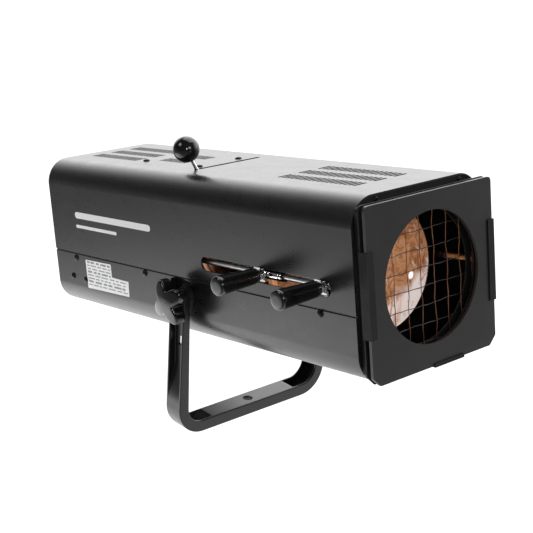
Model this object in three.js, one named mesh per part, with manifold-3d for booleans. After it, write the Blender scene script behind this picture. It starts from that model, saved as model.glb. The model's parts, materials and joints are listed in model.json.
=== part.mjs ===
// Follow spotlight: a box-bodied ellipsoidal luminaire on a channel-section yoke.
//
// Units are millimetres and +Z is up. The origin is the centre of the stand-bolt hole, level with the
// underside of the yoke's cross-bar. +X is the way the beam points and -Y is the operator's side.
// The lamp house hangs in the yoke on a pivot and is tilted nose-up by REST_TILT. Everything that tilts
// is drawn in an optical frame: x = 0 is the front rim, and the optical axis is y = 0, z = 0.

import * as THREE from 'three';
import { mergeVertices } from 'three/addons/utils/BufferGeometryUtils.js';
import Module from 'manifold-3d';

const wasm = await Module();
wasm.setup();

// ---------------------------------------------------------------- driving dimensions

const GAP = 0.3;                    // left between pieces that touch

const BODY_W = 193.5;               // lamp house, outside
const BODY_H = 195.4;
const BODY_L = 583.8;
const BODY_R = 31.5;                // long corner radius
const WALL = 2;
const SEAM_Z = -22;                 // where the cover meets the tray

const REST_TILT = 9.5;              // degrees nose-up
const PIVOT_HEIGHT = 178;           // above the underside of the cross-bar
const PIVOT_X = -285;               // pivot in the optical frame
const PIVOT_Z = -45;

const YOKE_WIDTH = 28;              // along the beam
const YOKE_SHEET = 3;
const YOKE_INNER = 104.5;           // half the clear width between the arms
const YOKE_BAR = 15;                // depth of the cross-bar channel
const YOKE_TOP = 24;                // arm above the pivot
const YOKE_OUTER_TOP = 113.5;
const YOKE_OUTER_LOW = 118.5;
const BEND_OUTER = 37;
const BEND_INNER = 22;
const STAND_HOLE_R = 6.5;           // M12 stand bolt
const ARM_HOLE_WIDTH = 9;           // carriage-bolt hole in each arm
const ARM_HOLE_HEIGHT = 12;
const ARM_HOLE_DROP = 54;           // below the pivot

const BOLT_R = 4;                   // M8 clamp bolt
const KNOB_R = 28.8;                // over the lobes
const KNOB_NOTCH_R = 15;
const KNOB_PHASE = 60;              // degrees from the beam to the first lobe
const KNOB_BACK_Y = 116;
const KNOB_FACE_Y = 134;            // middle of the domed face

const SLOT_REAR = -254;             // side slot for the lens handles
const SLOT_FRONT = -35;
const SLOT_HEIGHT = 17;
const ROD_Y = 85;                   // the two guide rods
const ROD_R = 4;

const FOCUS_X = -52.5;              // carriage stations at rest
const ZOOM_X = -151;
const LENS_R = 73.5;
const LENS_EDGE = 3.5;
const LENS_CENTRE = 14;
const LENS_CLEAR_R = 70;
const LENS_SETBACK = 8;             // lens plate behind its handle

const IRIS_X = -313;                // lever plane
const IRIS_R = 66;
const IRIS_OPEN_R = 36;
const IRIS_REST = 26;               // degrees from upright, towards the operator
const LEVER_LENGTH = 137.8;         // optical axis to the middle of the ball
const BALL_R = 16;
const BLADE_COUNT = 6;
const BLADE_SHEET = 0.5;
const BLADE_PITCH = 0.8;
const BLADE_MID_R = 46;
const BLADE_HALF_WIDTH = 10;
const BLADE_SPAN = 130;

const FRAME_W = 190.5;              // 7.5 inch colour frame
const FRAME_TOP = 91.4;
const FRAME_BOTTOM = -95.4;
const FRAME_HOLE_R = 71;
const FRAME_BACK_X = 15;
const FRAME_SHEET = 1.5;
const HOLDER_X = 8;

const GUARD_X = 3;                  // wire guard, back of the wires
const GUARD_PITCH = 20.4;
const GUARD_WIRE = 1.2;
const GUARD_Y = 15.9;               // the mesh is cut from a roll, so it isn't centred
const GUARD_Z = -11;

const FAN_SIZE = 80;
const FAN_Z = 36;
const SERVICE_Z = -52;              // row of inlet, switch and fuse on the rear panel

// ---------------------------------------------------------------- geometry helpers

const X_AXIS = new THREE.Vector3(1, 0, 0);
const Y_AXIS = new THREE.Vector3(0, 1, 0);
const Z_AXIS = new THREE.Vector3(0, 0, 1);
const radians = THREE.MathUtils.degToRad;

// Turns a closed three.js geometry into a solid, with its faces pointing out.
function solid(geometry) {
  const bare = geometry.clone();
  bare.deleteAttribute('normal');
  bare.deleteAttribute('uv');
  const merged = mergeVertices(bare, 1e-4);
  const position = merged.attributes.position.array;
  const index = Uint32Array.from(merged.index.array);
  if (signedVolume(position, index) < 0) {
    for (let i = 0; i < index.length; i += 3) {
      [index[i], index[i + 1]] = [index[i + 1], index[i]];
    }
  }
  return new wasm.Manifold(new wasm.Mesh({
    numProp: 3,
    vertProperties: Float32Array.from(position),
    triVerts: index,
  }));
}

function signedVolume(position, index) {
  const a = new THREE.Vector3();
  const b = new THREE.Vector3();
  const c = new THREE.Vector3();
  let total = 0;
  for (let i = 0; i < index.length; i += 3) {
    a.fromArray(position, 3 * index[i]);
    b.fromArray(position, 3 * index[i + 1]);
    c.fromArray(position, 3 * index[i + 2]);
    total += a.dot(b.cross(c)) / 6;
  }
  return total;
}

function box(x0, x1, y0, y1, z0, z1) {
  const geometry = new THREE.BoxGeometry(x1 - x0, y1 - y0, z1 - z0);
  geometry.translate((x0 + x1) / 2, (y0 + y1) / 2, (z0 + z1) / 2);
  return solid(geometry);
}

// Lathe solid round an axis along X. The profile is a list of [radius, x].
function turnedX(profile, segments = 24, y = 0, z = 0) {
  const points = profile.map(([r, x]) => new THREE.Vector2(r, x));
  const geometry = new THREE.LatheGeometry(points, segments);
  geometry.rotateZ(-Math.PI / 2);
  geometry.translate(0, y, z);
  return solid(geometry);
}

// Lathe solid round an axis along Y. The profile is a list of [radius, y].
function turnedY(profile, segments = 20, x = 0, z = 0) {
  const points = profile.map(([r, y]) => new THREE.Vector2(r, y));
  const geometry = new THREE.LatheGeometry(points, segments);
  geometry.translate(x, 0, z);
  return solid(geometry);
}

function discX(radius, x0, x1, y = 0, z = 0, segments = 24) {
  return turnedX([[0, x0], [radius, x0], [radius, x1], [0, x1]], segments, y, z);
}

function discY(radius, y0, y1, x = 0, z = 0, segments = 16) {
  return turnedY([[0, y0], [radius, y0], [radius, y1], [0, y1]], segments, x, z);
}

function ringX(inner, outer, x0, x1, y = 0, z = 0, segments = 24) {
  return turnedX([[inner, x0], [outer, x0], [outer, x1], [inner, x1], [inner, x0]], segments, y, z);
}

// Prism of a (y, z) outline between two x stations.
function prismX(shape, x0, x1, curveSegments = 8) {
  const options = { depth: x1 - x0, bevelEnabled: false, curveSegments };
  const geometry = new THREE.ExtrudeGeometry(shape, options);
  geometry.applyMatrix4(new THREE.Matrix4().makeBasis(Y_AXIS, Z_AXIS, X_AXIS));
  geometry.translate(x0, 0, 0);
  return solid(geometry);
}

// Prism of an (x, z) outline between two y stations.
function prismY(shape, y0, y1, curveSegments = 8) {
  const options = { depth: y1 - y0, bevelEnabled: false, curveSegments };
  const geometry = new THREE.ExtrudeGeometry(shape, options);
  geometry.applyMatrix4(new THREE.Matrix4().makeBasis(X_AXIS, Z_AXIS, Y_AXIS.clone().negate()));
  geometry.translate(0, y1, 0);
  return solid(geometry);
}

function roundedRectangle(width, height, radius, u = 0, v = 0) {
  const a = width / 2;
  const b = height / 2;
  const shape = new THREE.Shape();
  shape.moveTo(u - a + radius, v - b);
  shape.lineTo(u + a - radius, v - b);
  shape.absarc(u + a - radius, v - b + radius, radius, -Math.PI / 2, 0);
  shape.absarc(u + a - radius, v + b - radius, radius, 0, Math.PI / 2);
  shape.absarc(u - a + radius, v + b - radius, radius, Math.PI / 2, Math.PI);
  shape.absarc(u - a + radius, v - b + radius, radius, Math.PI, 1.5 * Math.PI);
  return shape;
}

function polygon(points) {
  return new THREE.Shape(points.map(([u, v]) => new THREE.Vector2(u, v)));
}

function spun(body, degrees) {
  return body.rotate([degrees, 0, 0]);
}

function sum(bodies) {
  return bodies.reduce((total, body) => total.add(body));
}

// ---------------------------------------------------------------- materials and scene graph

const finish = (color, roughness, metalness) => ({ color, roughness, metalness });
const BLACK_PAINT = finish(0x232427, 0.45, 0.1);
const BLACK_SHEET = finish(0x141416, 0.55, 0.1);
const BLACK_PLASTIC = finish(0x0d0d0e, 0.22, 0);
const FRAME_PAINT = finish(0x2c2d2f, 0.4, 0.2);
const ZINC = finish(0xb9bbb8, 0.3, 0.9);
const STEEL = finish(0xc9ccce, 0.2, 1);
const CHROME = finish(0xe4e6e8, 0.08, 1);
const BRASS = finish(0xb87a4a, 0.3, 0.9);
const BLADE_STEEL = finish(0x3a3430, 0.4, 0.8);
const GLASS = finish(0xc58a5c, 0.05, 0);
const CLEAR_GLASS = finish(0xe8eef0, 0.03, 0);
const CERAMIC = finish(0xe6e2d8, 0.6, 0);

const spotlight = new THREE.Group();
const lampHouse = new THREE.Group();
lampHouse.position.set(0, 0, PIVOT_HEIGHT);
lampHouse.rotation.y = -radians(REST_TILT);
const optics = new THREE.Group();
optics.position.set(-PIVOT_X, 0, -PIVOT_Z);
spotlight.add(lampHouse);
lampHouse.add(optics);

function place(group, name, body, look) {
  const { vertProperties, triVerts } = body.getMesh();
  const geometry = new THREE.BufferGeometry();
  geometry.setAttribute('position', new THREE.BufferAttribute(vertProperties, 3));
  geometry.setIndex(new THREE.BufferAttribute(triVerts, 1));
  geometry.computeVertexNormals();
  const mesh = new THREE.Mesh(geometry, new THREE.MeshStandardMaterial(look));
  mesh.name = name;
  group.add(mesh);
  return mesh;
}

// ---------------------------------------------------------------- yoke

// The yoke is a pressed channel, open at the tops of its arms. Its web is on the inside along the arms and
// the cross-bar and crosses to the outside round the two bends, so the pockets face out, down and in by turns.
function yoke() {
  const top = PIVOT_HEIGHT + YOKE_TOP;
  const centre = YOKE_OUTER_LOW - BEND_OUTER;
  const outer = new THREE.Shape();
  outer.moveTo(-YOKE_OUTER_TOP, top);
  outer.lineTo(-YOKE_OUTER_LOW, BEND_OUTER);
  outer.absarc(-centre, BEND_OUTER, BEND_OUTER, Math.PI, 1.5 * Math.PI);
  outer.absarc(centre, BEND_OUTER, BEND_OUTER, 1.5 * Math.PI, 2 * Math.PI);
  outer.lineTo(YOKE_OUTER_TOP, top);

  const inside = YOKE_INNER - BEND_INNER;
  const clear = new THREE.Shape();
  clear.moveTo(-YOKE_INNER, top + 1);
  clear.lineTo(-YOKE_INNER, YOKE_BAR + BEND_INNER);
  clear.absarc(-inside, YOKE_BAR + BEND_INNER, BEND_INNER, Math.PI, 1.5 * Math.PI);
  clear.absarc(inside, YOKE_BAR + BEND_INNER, BEND_INNER, 1.5 * Math.PI, 2 * Math.PI);
  clear.lineTo(YOKE_INNER, top + 1);

  const half = YOKE_WIDTH / 2;
  const pocket = half - YOKE_SHEET;
  const wide = YOKE_OUTER_LOW + 5;
  let body = prismX(outer, -half, half, 7).subtract(prismX(clear, -half - 1, half + 1, 6));

  const armTop = roundedRectangle(YOKE_WIDTH, 2 * top, 3, 0, 0);
  body = body.intersect(prismY(armTop, -wide, wide, 2));

  const pocketFoot = 48;
  const pocketHead = top + 12;
  const armPocket = roundedRectangle(2 * pocket, pocketHead - pocketFoot, 8, 0, (pocketHead + pocketFoot) / 2);
  const barPocket = box(-pocket, pocket, -66, 66, -1, YOKE_BAR - YOKE_SHEET);
  body = body.subtract(barPocket);
  body = body.subtract(turnedStandHole());
  for (const side of [-1, 1]) {
    const from = side * (YOKE_INNER + YOKE_SHEET);
    const to = side * wide;
    body = body.subtract(prismY(armPocket, Math.min(from, to), Math.max(from, to), 2));
    const trough = discX(BEND_OUTER - YOKE_SHEET, -pocket, pocket, side * centre, BEND_OUTER, 28);
    const corner = box(-pocket, pocket, Math.min(side * 74, to), Math.max(side * 74, to), -1, 44);
    body = body.subtract(trough.intersect(corner));
    body = body.subtract(discY(BOLT_R + 0.5, Math.min(0, to), Math.max(0, to), 0, PIVOT_HEIGHT));
    const holeZ = PIVOT_HEIGHT - ARM_HOLE_DROP;
    const hole = roundedRectangle(ARM_HOLE_WIDTH, ARM_HOLE_HEIGHT, 1.5, 0, holeZ);
    body = body.subtract(prismY(hole, Math.min(0, to), Math.max(0, to), 2));
  }
  return body;
}

function turnedStandHole() {
  const geometry = new THREE.CylinderGeometry(STAND_HOLE_R, STAND_HOLE_R, 2 * YOKE_BAR + 10, 20);
  geometry.rotateX(Math.PI / 2);
  return solid(geometry);
}

place(spotlight, 'yoke', yoke(), BLACK_PAINT);

// ---------------------------------------------------------------- lamp house shell

function houseOutline(inset) {
  return roundedRectangle(BODY_W - 2 * inset, BODY_H - 2 * inset, BODY_R - inset);
}

function shell() {
  const outer = prismX(houseOutline(0), -BODY_L, 0, 6);
  return outer.subtract(prismX(houseOutline(WALL), -BODY_L - 1, 1, 6));
}

// A strip of narrow crosswise slots cut through the roof.
function ventStrip(x0, x1, y) {
  const pitch = 7;
  const count = Math.round((x1 - x0) / pitch);
  const slots = [];
  for (let i = 0; i < count; i += 1) {
    const x = x0 + (i + 0.25) * pitch;
    slots.push(box(x, x + pitch / 2, y - 10, y + 10, BODY_H / 2 - 6, BODY_H / 2 + 1));
  }
  return sum(slots);
}

function cover() {
  const above = box(-BODY_L - 1, 1, -BODY_W, BODY_W, SEAM_Z + GAP / 2, BODY_H);
  let body = shell().intersect(above);
  const slot = roundedRectangle(SLOT_FRONT - SLOT_REAR, SLOT_HEIGHT, SLOT_HEIGHT / 2 - 0.1,
    (SLOT_FRONT + SLOT_REAR) / 2, 0);
  body = body.subtract(prismY(slot, -BODY_W / 2 - 5, -BODY_W / 2 + 10, 4));
  body = body.subtract(box(IRIS_X - 2.4, IRIS_X + 2.4, -51, 51, BODY_H / 2 - 10, BODY_H / 2 + 5));
  for (const y of [-30.5, 0, 30.5]) {
    body = body.subtract(ventStrip(-175, -49, y));
    body = body.subtract(ventStrip(-560, -455, y));
  }
  for (const y of [-15, 17]) {
    body = body.subtract(ventStrip(-425, -366, y));
  }
  return body;
}

// The tray carries a joggled lap along each side that the cover slides over.
function tray() {
  const below = box(-BODY_L - 1, 1, -BODY_W, BODY_W, -BODY_H, SEAM_Z - GAP / 2);
  let body = shell().intersect(below);
  const inner = BODY_W / 2 - WALL;
  for (const side of [-1, 1]) {
    const root = [side * (inner - GAP - 1.5), side * (inner + 0.5)].sort((a, b) => a - b);
    const lap = [side * (inner - GAP - 1.5), side * (inner - GAP)].sort((a, b) => a - b);
    body = body.add(box(-572, -6, root[0], root[1], SEAM_Z - 12, SEAM_Z - 2));
    body = body.add(box(-572, -6, lap[0], lap[1], SEAM_Z - 2, SEAM_Z + 10));
    const hole = [side * (inner - 10), side * (inner + 10)].sort((a, b) => a - b);
    body = body.subtract(discY(BOLT_R + 1, hole[0], hole[1], PIVOT_X, PIVOT_Z));
  }
  return body;
}

place(optics, 'cover', cover(), BLACK_PAINT);
place(optics, 'tray', tray(), BLACK_PAINT);

// A bulkhead that closes the whole section of the lamp house.
function bulkhead(x0, x1, inset = WALL + GAP) {
  return prismX(houseOutline(inset), x0, x1, 4);
}

// Clears the tray's laps, which run past the inner bulkheads.
function lapNotches(x0, x1) {
  const inner = BODY_W / 2 - WALL - GAP - 1.5 - GAP;
  return box(x0 - 1, x1 + 1, inner, BODY_W, SEAM_Z - 12 - GAP, SEAM_Z + 10 + GAP)
    .add(box(x0 - 1, x1 + 1, -BODY_W, -inner, SEAM_Z - 12 - GAP, SEAM_Z + 10 + GAP));
}

function rodHoles(x0, x1) {
  return sum([-1, 1].map((side) => discX(ROD_R + GAP, x0 - 1, x1 + 1, side * ROD_Y, 0, 12)));
}

function frontPanel() {
  const aperture = discX(74, -4, 0, 0, 0, 40);
  return bulkhead(-3, -1).subtract(aperture).subtract(rodHoles(-3, -1));
}

function gatePlate() {
  const x0 = -323.7;
  const x1 = x0 + 2;
  return bulkhead(x0, x1).subtract(discX(IRIS_OPEN_R, x0 - 1, x1 + 1)).subtract(rodHoles(x0, x1))
    .subtract(lapNotches(x0, x1));
}

place(optics, 'front_panel', frontPanel(), BLACK_SHEET);
place(optics, 'gate_plate', gatePlate(), BLACK_SHEET);

// ---------------------------------------------------------------- colour frame and its holder

function frameOutline(inset = 0) {
  const a = FRAME_W / 2 - inset;
  const top = FRAME_TOP - inset;
  const bottom = FRAME_BOTTOM + inset;
  const chamfer = 10 - inset / 2;
  const r = 5;
  const shape = new THREE.Shape();
  shape.moveTo(-a + chamfer, bottom);
  shape.lineTo(a - chamfer, bottom);
  shape.lineTo(a, bottom + chamfer);
  shape.absarc(a - r, top - r, r, 0, Math.PI / 2);
  shape.absarc(-a + r, top - r, r, Math.PI / 2, Math.PI);
  shape.lineTo(-a, bottom + chamfer);
  return shape;
}

function colourFrameSheet(x0) {
  const hole = discX(FRAME_HOLE_R, x0 - 1, x0 + FRAME_SHEET + 1, -0.7, 0.7, 48);
  return prismX(frameOutline(), x0, x0 + FRAME_SHEET, 4).subtract(hole);
}

place(optics, 'color_frame_back', colourFrameSheet(FRAME_BACK_X), FRAME_PAINT);
place(optics, 'color_frame_front', colourFrameSheet(FRAME_BACK_X + FRAME_SHEET + GAP), FRAME_PAINT);

// The holder is a shallow tray on the front rim with three clips. The colour frame drops in from above.
function frameHolder() {
  const sheet = 1.5;
  const lipX = FRAME_BACK_X + 2 * FRAME_SHEET + 2 * GAP;
  const lipEnd = lipX + 1.2;
  const half = FRAME_W / 2;
  const rim = prismX(frameOutline(3), GAP, HOLDER_X + 0.5, 4)
    .subtract(prismX(frameOutline(3 + sheet), -1.7, HOLDER_X + 1.5, 4));
  const parts = [rim, prismX(frameOutline(), HOLDER_X, HOLDER_X + sheet, 4)];
  for (const side of [-1, 1]) {
    const outside = side * (half + GAP + 1.2);
    const wall = [side * (half + GAP), outside].sort((a, b) => a - b);
    const root = [side * (half - 1), outside].sort((a, b) => a - b);
    const lip = [side * (half - 8), outside].sort((a, b) => a - b);
    parts.push(box(HOLDER_X, HOLDER_X + sheet, root[0], root[1], -45, 45));
    parts.push(box(HOLDER_X, lipEnd, wall[0], wall[1], -45, 45));
    parts.push(box(lipX, lipEnd, lip[0], lip[1], -45, 45));
  }
  const floor = FRAME_BOTTOM - GAP;
  parts.push(box(HOLDER_X, HOLDER_X + sheet, -5, 41, floor - 1.2, FRAME_BOTTOM + 1));
  parts.push(box(HOLDER_X, lipEnd, -5, 41, floor - 1.2, floor));
  parts.push(box(lipX, lipEnd, -5, 41, floor - 1.2, floor + 3));
  return sum(parts).subtract(discX(74, HOLDER_X - 3, HOLDER_X + 3, 0, 0, 40));
}

// Wire guard between the front panel and the holder.
function guardMesh() {
  const reach = 84;
  const wire = GUARD_WIRE / 2;
  const bars = [];
  for (let i = -3; i <= 3; i += 1) {
    const y = GUARD_Y + i * GUARD_PITCH;
    const z = GUARD_Z + i * GUARD_PITCH;
    bars.push(box(GUARD_X, GUARD_X + 3, y - wire, y + wire, -reach, reach));
    bars.push(box(GUARD_X, GUARD_X + 3, -reach, reach, z - wire, z + wire));
  }
  return sum(bars);
}

place(optics, 'frame_holder', frameHolder(), BLACK_SHEET);
place(optics, 'guard_mesh', guardMesh(), ZINC);

// ---------------------------------------------------------------- guide rods and lens carriages

for (const [side, label] of [[-1, 'operator'], [1, 'far']]) {
  place(optics, `guide_rod_${label}`, discX(ROD_R, -323.5, -1.2, side * ROD_Y, 0, 16), STEEL);
}

function lensGlass(x) {
  const points = [[0, x], [LENS_R, x], [LENS_R, x + LENS_EDGE]];
  const bulge = LENS_CENTRE - LENS_EDGE;
  const steps = 5;
  for (let i = steps - 1; i >= 0; i -= 1) {
    const r = LENS_R * (i / steps);
    points.push([r, x + LENS_EDGE + bulge * (1 - (i / steps) ** 2)]);
  }
  return turnedX(points, 32);
}

function lensRing(x) {
  const inner = LENS_R + GAP;
  const lip = x + 4.9;
  return turnedX([[inner, x], [78.5, x], [78.5, lip + 1.2], [70.5, lip + 1.2], [70.5, lip], [inner, lip],
    [inner, x]], 32);
}

// An eared ring plate, with a tab along the slot that takes the handle's stud.
function carriagePlate(x, handleX) {
  let body = discX(79, x - 1.5, x + 1.5, 0, 0, 32);
  body = body.add(box(x - 1.5, x + 1.5, -93, 93, -12, 12));
  body = body.add(box(x - 1.5, handleX + 8, -94.2, -91.7, -8, 8));
  body = body.subtract(discX(LENS_CLEAR_R, x - 5, x + 5, 0, 0, 32));
  for (const side of [-1, 1]) {
    body = body.subtract(discX(6.7, x - 2, x + 2, side * ROD_Y, 0, 16));
  }
  return body;
}

function handleGrip(x) {
  const base = -99;
  const length = 57;
  const bore = 3.3;
  const depth = 13;
  const profile = [[0, base - depth], [bore, base - depth], [bore, base], [7.2, base], [7.8, base - 1.5],
    [8.6, base - 20], [11, base - length + 3], [10.2, base - length], [0, base - length]];
  return turnedY(profile, 20, x, 0);
}

// One lens carriage: an eared plate on two bushes, the lens and its ring, and the outside handle.
function lensCarriage(name, x, bushFront) {
  const plateX = x - LENS_SETBACK;
  const seatX = plateX + 1.8;
  place(optics, `${name}_carriage_plate`, carriagePlate(plateX, x), ZINC);
  place(optics, `${name}_lens`, lensGlass(seatX), GLASS);
  place(optics, `${name}_lens_ring`, lensRing(seatX), BRASS);
  for (const [side, label] of [[-1, 'operator'], [1, 'far']]) {
    const bush = ringX(ROD_R + 0.15, 6.3, x - 14, x + bushFront, side * ROD_Y, 0, 16);
    place(optics, `${name}_bush_${label}`, bush, CHROME);
  }
  place(optics, `${name}_handle_stud`, discY(3, -111.5, -94.5, x, 0, 12), CHROME);
  place(optics, `${name}_handle_grip`, handleGrip(x), BLACK_PLASTIC);
}

lensCarriage('focus', FOCUS_X, 17);
lensCarriage('zoom', ZOOM_X, 33);

// ---------------------------------------------------------------- iris

// Layers from the back: base plate, six blades, cam ring, cover ring. The lever is in the cam ring's plane.
const CAM_X0 = IRIS_X - 1.2;
const CAM_X1 = IRIS_X + 1.2;
const BLADES_X1 = CAM_X0 - GAP;
const BASE_X1 = BLADES_X1 - BLADE_COUNT * BLADE_PITCH;

// A crescent blade in the open position: a round band about the optical axis, from its pivot end on.
function irisBlade(index) {
  const shape = new THREE.Shape();
  const inner = BLADE_MID_R - BLADE_HALF_WIDTH + 0.5;
  const outer = BLADE_MID_R + BLADE_HALF_WIDTH;
  const span = radians(BLADE_SPAN);
  shape.absarc(0, 0, outer, 0, span);
  shape.absarc(0, 0, inner, span, 0, true);
  const x1 = BLADES_X1 - index * BLADE_PITCH;
  const band = prismX(shape, x1 - BLADE_SHEET, x1, 8);
  const pivotEnd = discX(BLADE_HALF_WIDTH - 0.5, x1 - BLADE_SHEET, x1, BLADE_MID_R, 0, 12);
  return spun(band.add(pivotEnd), index * 360 / BLADE_COUNT);
}

function leverPart(profile, segments) {
  const points = profile.map(([r, t]) => new THREE.Vector2(r, t));
  const geometry = new THREE.LatheGeometry(points, segments);
  geometry.rotateX(Math.PI / 2);
  geometry.rotateX(radians(IRIS_REST));
  geometry.translate(IRIS_X, 0, 0);
  return solid(geometry);
}

function camRing() {
  const lug = box(CAM_X0, CAM_X1, -6, 6, 56, IRIS_R);
  return ringX(IRIS_OPEN_R + 4, 60, CAM_X0, CAM_X1, 0, 0, 32).add(spun(lug, IRIS_REST));
}

function irisBall() {
  const points = [];
  const steps = 8;
  for (let i = 0; i <= steps; i += 1) {
    const angle = -Math.PI / 2 + Math.PI * i / steps;
    points.push([Math.max(0, BALL_R * Math.cos(angle)), LEVER_LENGTH + BALL_R * Math.sin(angle)]);
  }
  points[0][0] = 0;
  points[steps][0] = 0;
  const mouth = LEVER_LENGTH - BALL_R - 4;
  const bottom = LEVER_LENGTH - 6;
  const socket = [[0, mouth], [2.1, mouth], [2.1, bottom], [0, bottom]];
  return leverPart(points, 20).subtract(leverPart(socket, 12));
}

function irisBase() {
  return ringX(IRIS_OPEN_R, IRIS_R, BASE_X1 - 2, BASE_X1);
}

const ROD_END = LEVER_LENGTH - 6.4;
const leverRod = [[0, IRIS_R + GAP], [1.8, IRIS_R + GAP], [1.8, ROD_END], [0, ROD_END]];
place(optics, 'iris_base', irisBase(), BRASS);
place(optics, 'iris_cam_ring', camRing(), BRASS);
place(optics, 'iris_cover_ring', ringX(IRIS_OPEN_R + 2, 58, CAM_X1 + GAP, CAM_X1 + GAP + 2), BRASS);
place(optics, 'iris_lever', leverPart(leverRod, 12), CHROME);
place(optics, 'iris_knob', irisBall(), BLACK_PLASTIC);
for (let i = 0; i < BLADE_COUNT; i += 1) {
  place(optics, `iris_blade_${i + 1}`, irisBlade(i), BLADE_STEEL);
}

// ---------------------------------------------------------------- lamp and reflector

const REFLECTOR_X = -345;           // middle of the ellipsoid

function reflector() {
  const inside = [];
  const outside = [];
  const steps = 5;
  for (let i = 0; i <= steps; i += 1) {
    const angle = radians(14 + (80 - 14) * i / steps);
    inside.push([70 * Math.sin(angle), REFLECTOR_X - 100 * Math.cos(angle)]);
    outside.push([72 * Math.sin(angle), REFLECTOR_X - 102 * Math.cos(angle)]);
  }
  const rimX = inside[steps][1];
  const rim = [[75, rimX], [75, rimX + 2], [inside[steps][0], rimX + 2]];
  return turnedX([...inside.slice(0, -1), ...rim.reverse(), ...outside.reverse(), inside[0]], 28);
}

function lampBulkhead() {
  const x0 = -360;
  const mouth = discX(66, x0 - 1, x0 + 3, 0, 0, 28);
  return bulkhead(x0, x0 + 2).subtract(mouth).subtract(lapNotches(x0, x0 + 2));
}

function lampBracket() {
  const floor = -BODY_H / 2 + WALL + GAP;
  return box(-486, -484, -25, 25, floor, 24)
    .add(box(-510, -484, -25, 25, floor, floor + 2))
    .subtract(discX(9, -488, -482, 0, 0, 16));
}

const bulbProfile = [[0, -433], [6, -433], [7.5, -426], [7.5, -392], [5.5, -386], [2, -382.5], [0, -382]];
place(optics, 'reflector', reflector(), CHROME);
place(optics, 'lamp_bulkhead', lampBulkhead(), BLACK_SHEET);
place(optics, 'lamp_bulb', turnedX(bulbProfile, 16), CLEAR_GLASS);
place(optics, 'lamp_socket', turnedX([[0, -483.7], [19, -483.7], [19, -458], [12, -456], [12, -433.3],
  [0, -433.3]], 20), CERAMIC);
place(optics, 'lamp_bracket', lampBracket(), ZINC);

// ---------------------------------------------------------------- rear panel and services

const REAR_X0 = -580.8;             // outside face of the rear panel
const REAR_X1 = REAR_X0 + 2;
const INLET_Y = -45;
const SWITCH_Y = 2;
const FUSE_Y = 42;

// A box centred on the service row, given by its half width and half height.
function serviceBox(x0, x1, y, halfY, halfZ) {
  return box(x0, x1, y - halfY, y + halfY, SERVICE_Z - halfZ, SERVICE_Z + halfZ);
}

function rearPanel() {
  let body = bulkhead(REAR_X0, REAR_X1);
  for (let i = -3; i <= 3; i += 1) {
    const z = 9.6 * i;
    const half = Math.sqrt(35 * 35 - z * z);
    body = body.subtract(box(REAR_X0 - 1, REAR_X1 + 1, -half, half, FAN_Z + z - 2.6, FAN_Z + z + 2.6));
  }
  body = body.subtract(serviceBox(REAR_X0 - 1, REAR_X1 + 1, INLET_Y, 14, 10.5));
  body = body.subtract(serviceBox(REAR_X0 - 1, REAR_X1 + 1, SWITCH_Y, 12, 12));
  return body.subtract(discX(6.8, REAR_X0 - 1, REAR_X1 + 1, FUSE_Y, SERVICE_Z, 16));
}

function fanFrame() {
  const x0 = REAR_X1 + GAP;
  const half = FAN_SIZE / 2;
  let body = prismX(roundedRectangle(FAN_SIZE, FAN_SIZE, 5, 0, FAN_Z), x0, x0 + 25, 3);
  body = body.subtract(discX(38, x0 - 1, x0 + 26, 0, FAN_Z, 32));
  const hub = discX(17, x0, x0 + 3, 0, FAN_Z, 20);
  const struts = [0, 120, 240].map((angle) => {
    const strut = box(x0, x0 + 3, -2.5, 2.5, 10, half - 1);
    return spun(strut, angle).translate([0, 0, FAN_Z]);
  });
  return body.add(sum([hub, ...struts]));
}

function fanImpeller() {
  const x0 = REAR_X1 + GAP + 3 + 0.7;
  const hub = discX(18, x0, x0 + 18, 0, 0, 21);
  const blades = [];
  for (let i = 0; i < 7; i += 1) {
    const blade = box(-8, 8, -0.9, 0.9, 15, 36.2).rotate([0, 0, 38]).translate([x0 + 9, 0, 0]);
    blades.push(spun(blade, i * 360 / 7));
  }
  return sum([hub, ...blades]).translate([0, 0, FAN_Z]);
}

function powerInlet() {
  const flange = serviceBox(REAR_X0 - 2.4, REAR_X0 - GAP, INLET_Y, 24, 14);
  const barrel = serviceBox(REAR_X0 - 1, REAR_X0 + 20, INLET_Y, 13.5, 10);
  const socket = serviceBox(REAR_X0 - 4, REAR_X0 + 16, INLET_Y, 12, 8.2);
  return flange.add(barrel).subtract(socket);
}

const ROCKER_X = REAR_X0 + 3.2;     // rocker's own hinge line
const ROCKER_TILT = 7;

function switchBezel() {
  const flange = serviceBox(REAR_X0 - 2, REAR_X0 - GAP, SWITCH_Y, 14, 14);
  const barrel = serviceBox(REAR_X0 - 1, REAR_X0 + 16, SWITCH_Y, 11.6, 11.6);
  const cavity = serviceBox(REAR_X0 - 4, REAR_X0 + 13, SWITCH_Y, 9.6, 9.9);
  return flange.add(barrel).subtract(cavity);
}

function switchRocker() {
  const outline = polygon([[-5.4, -8.6], [-3.9, 0], [-5.4, 8.6], [3, 6.5], [3, -6.5]]);
  return prismY(outline, -9.2, 9.2).rotate([0, ROCKER_TILT, 0]).translate([ROCKER_X, SWITCH_Y, SERVICE_Z]);
}

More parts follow.
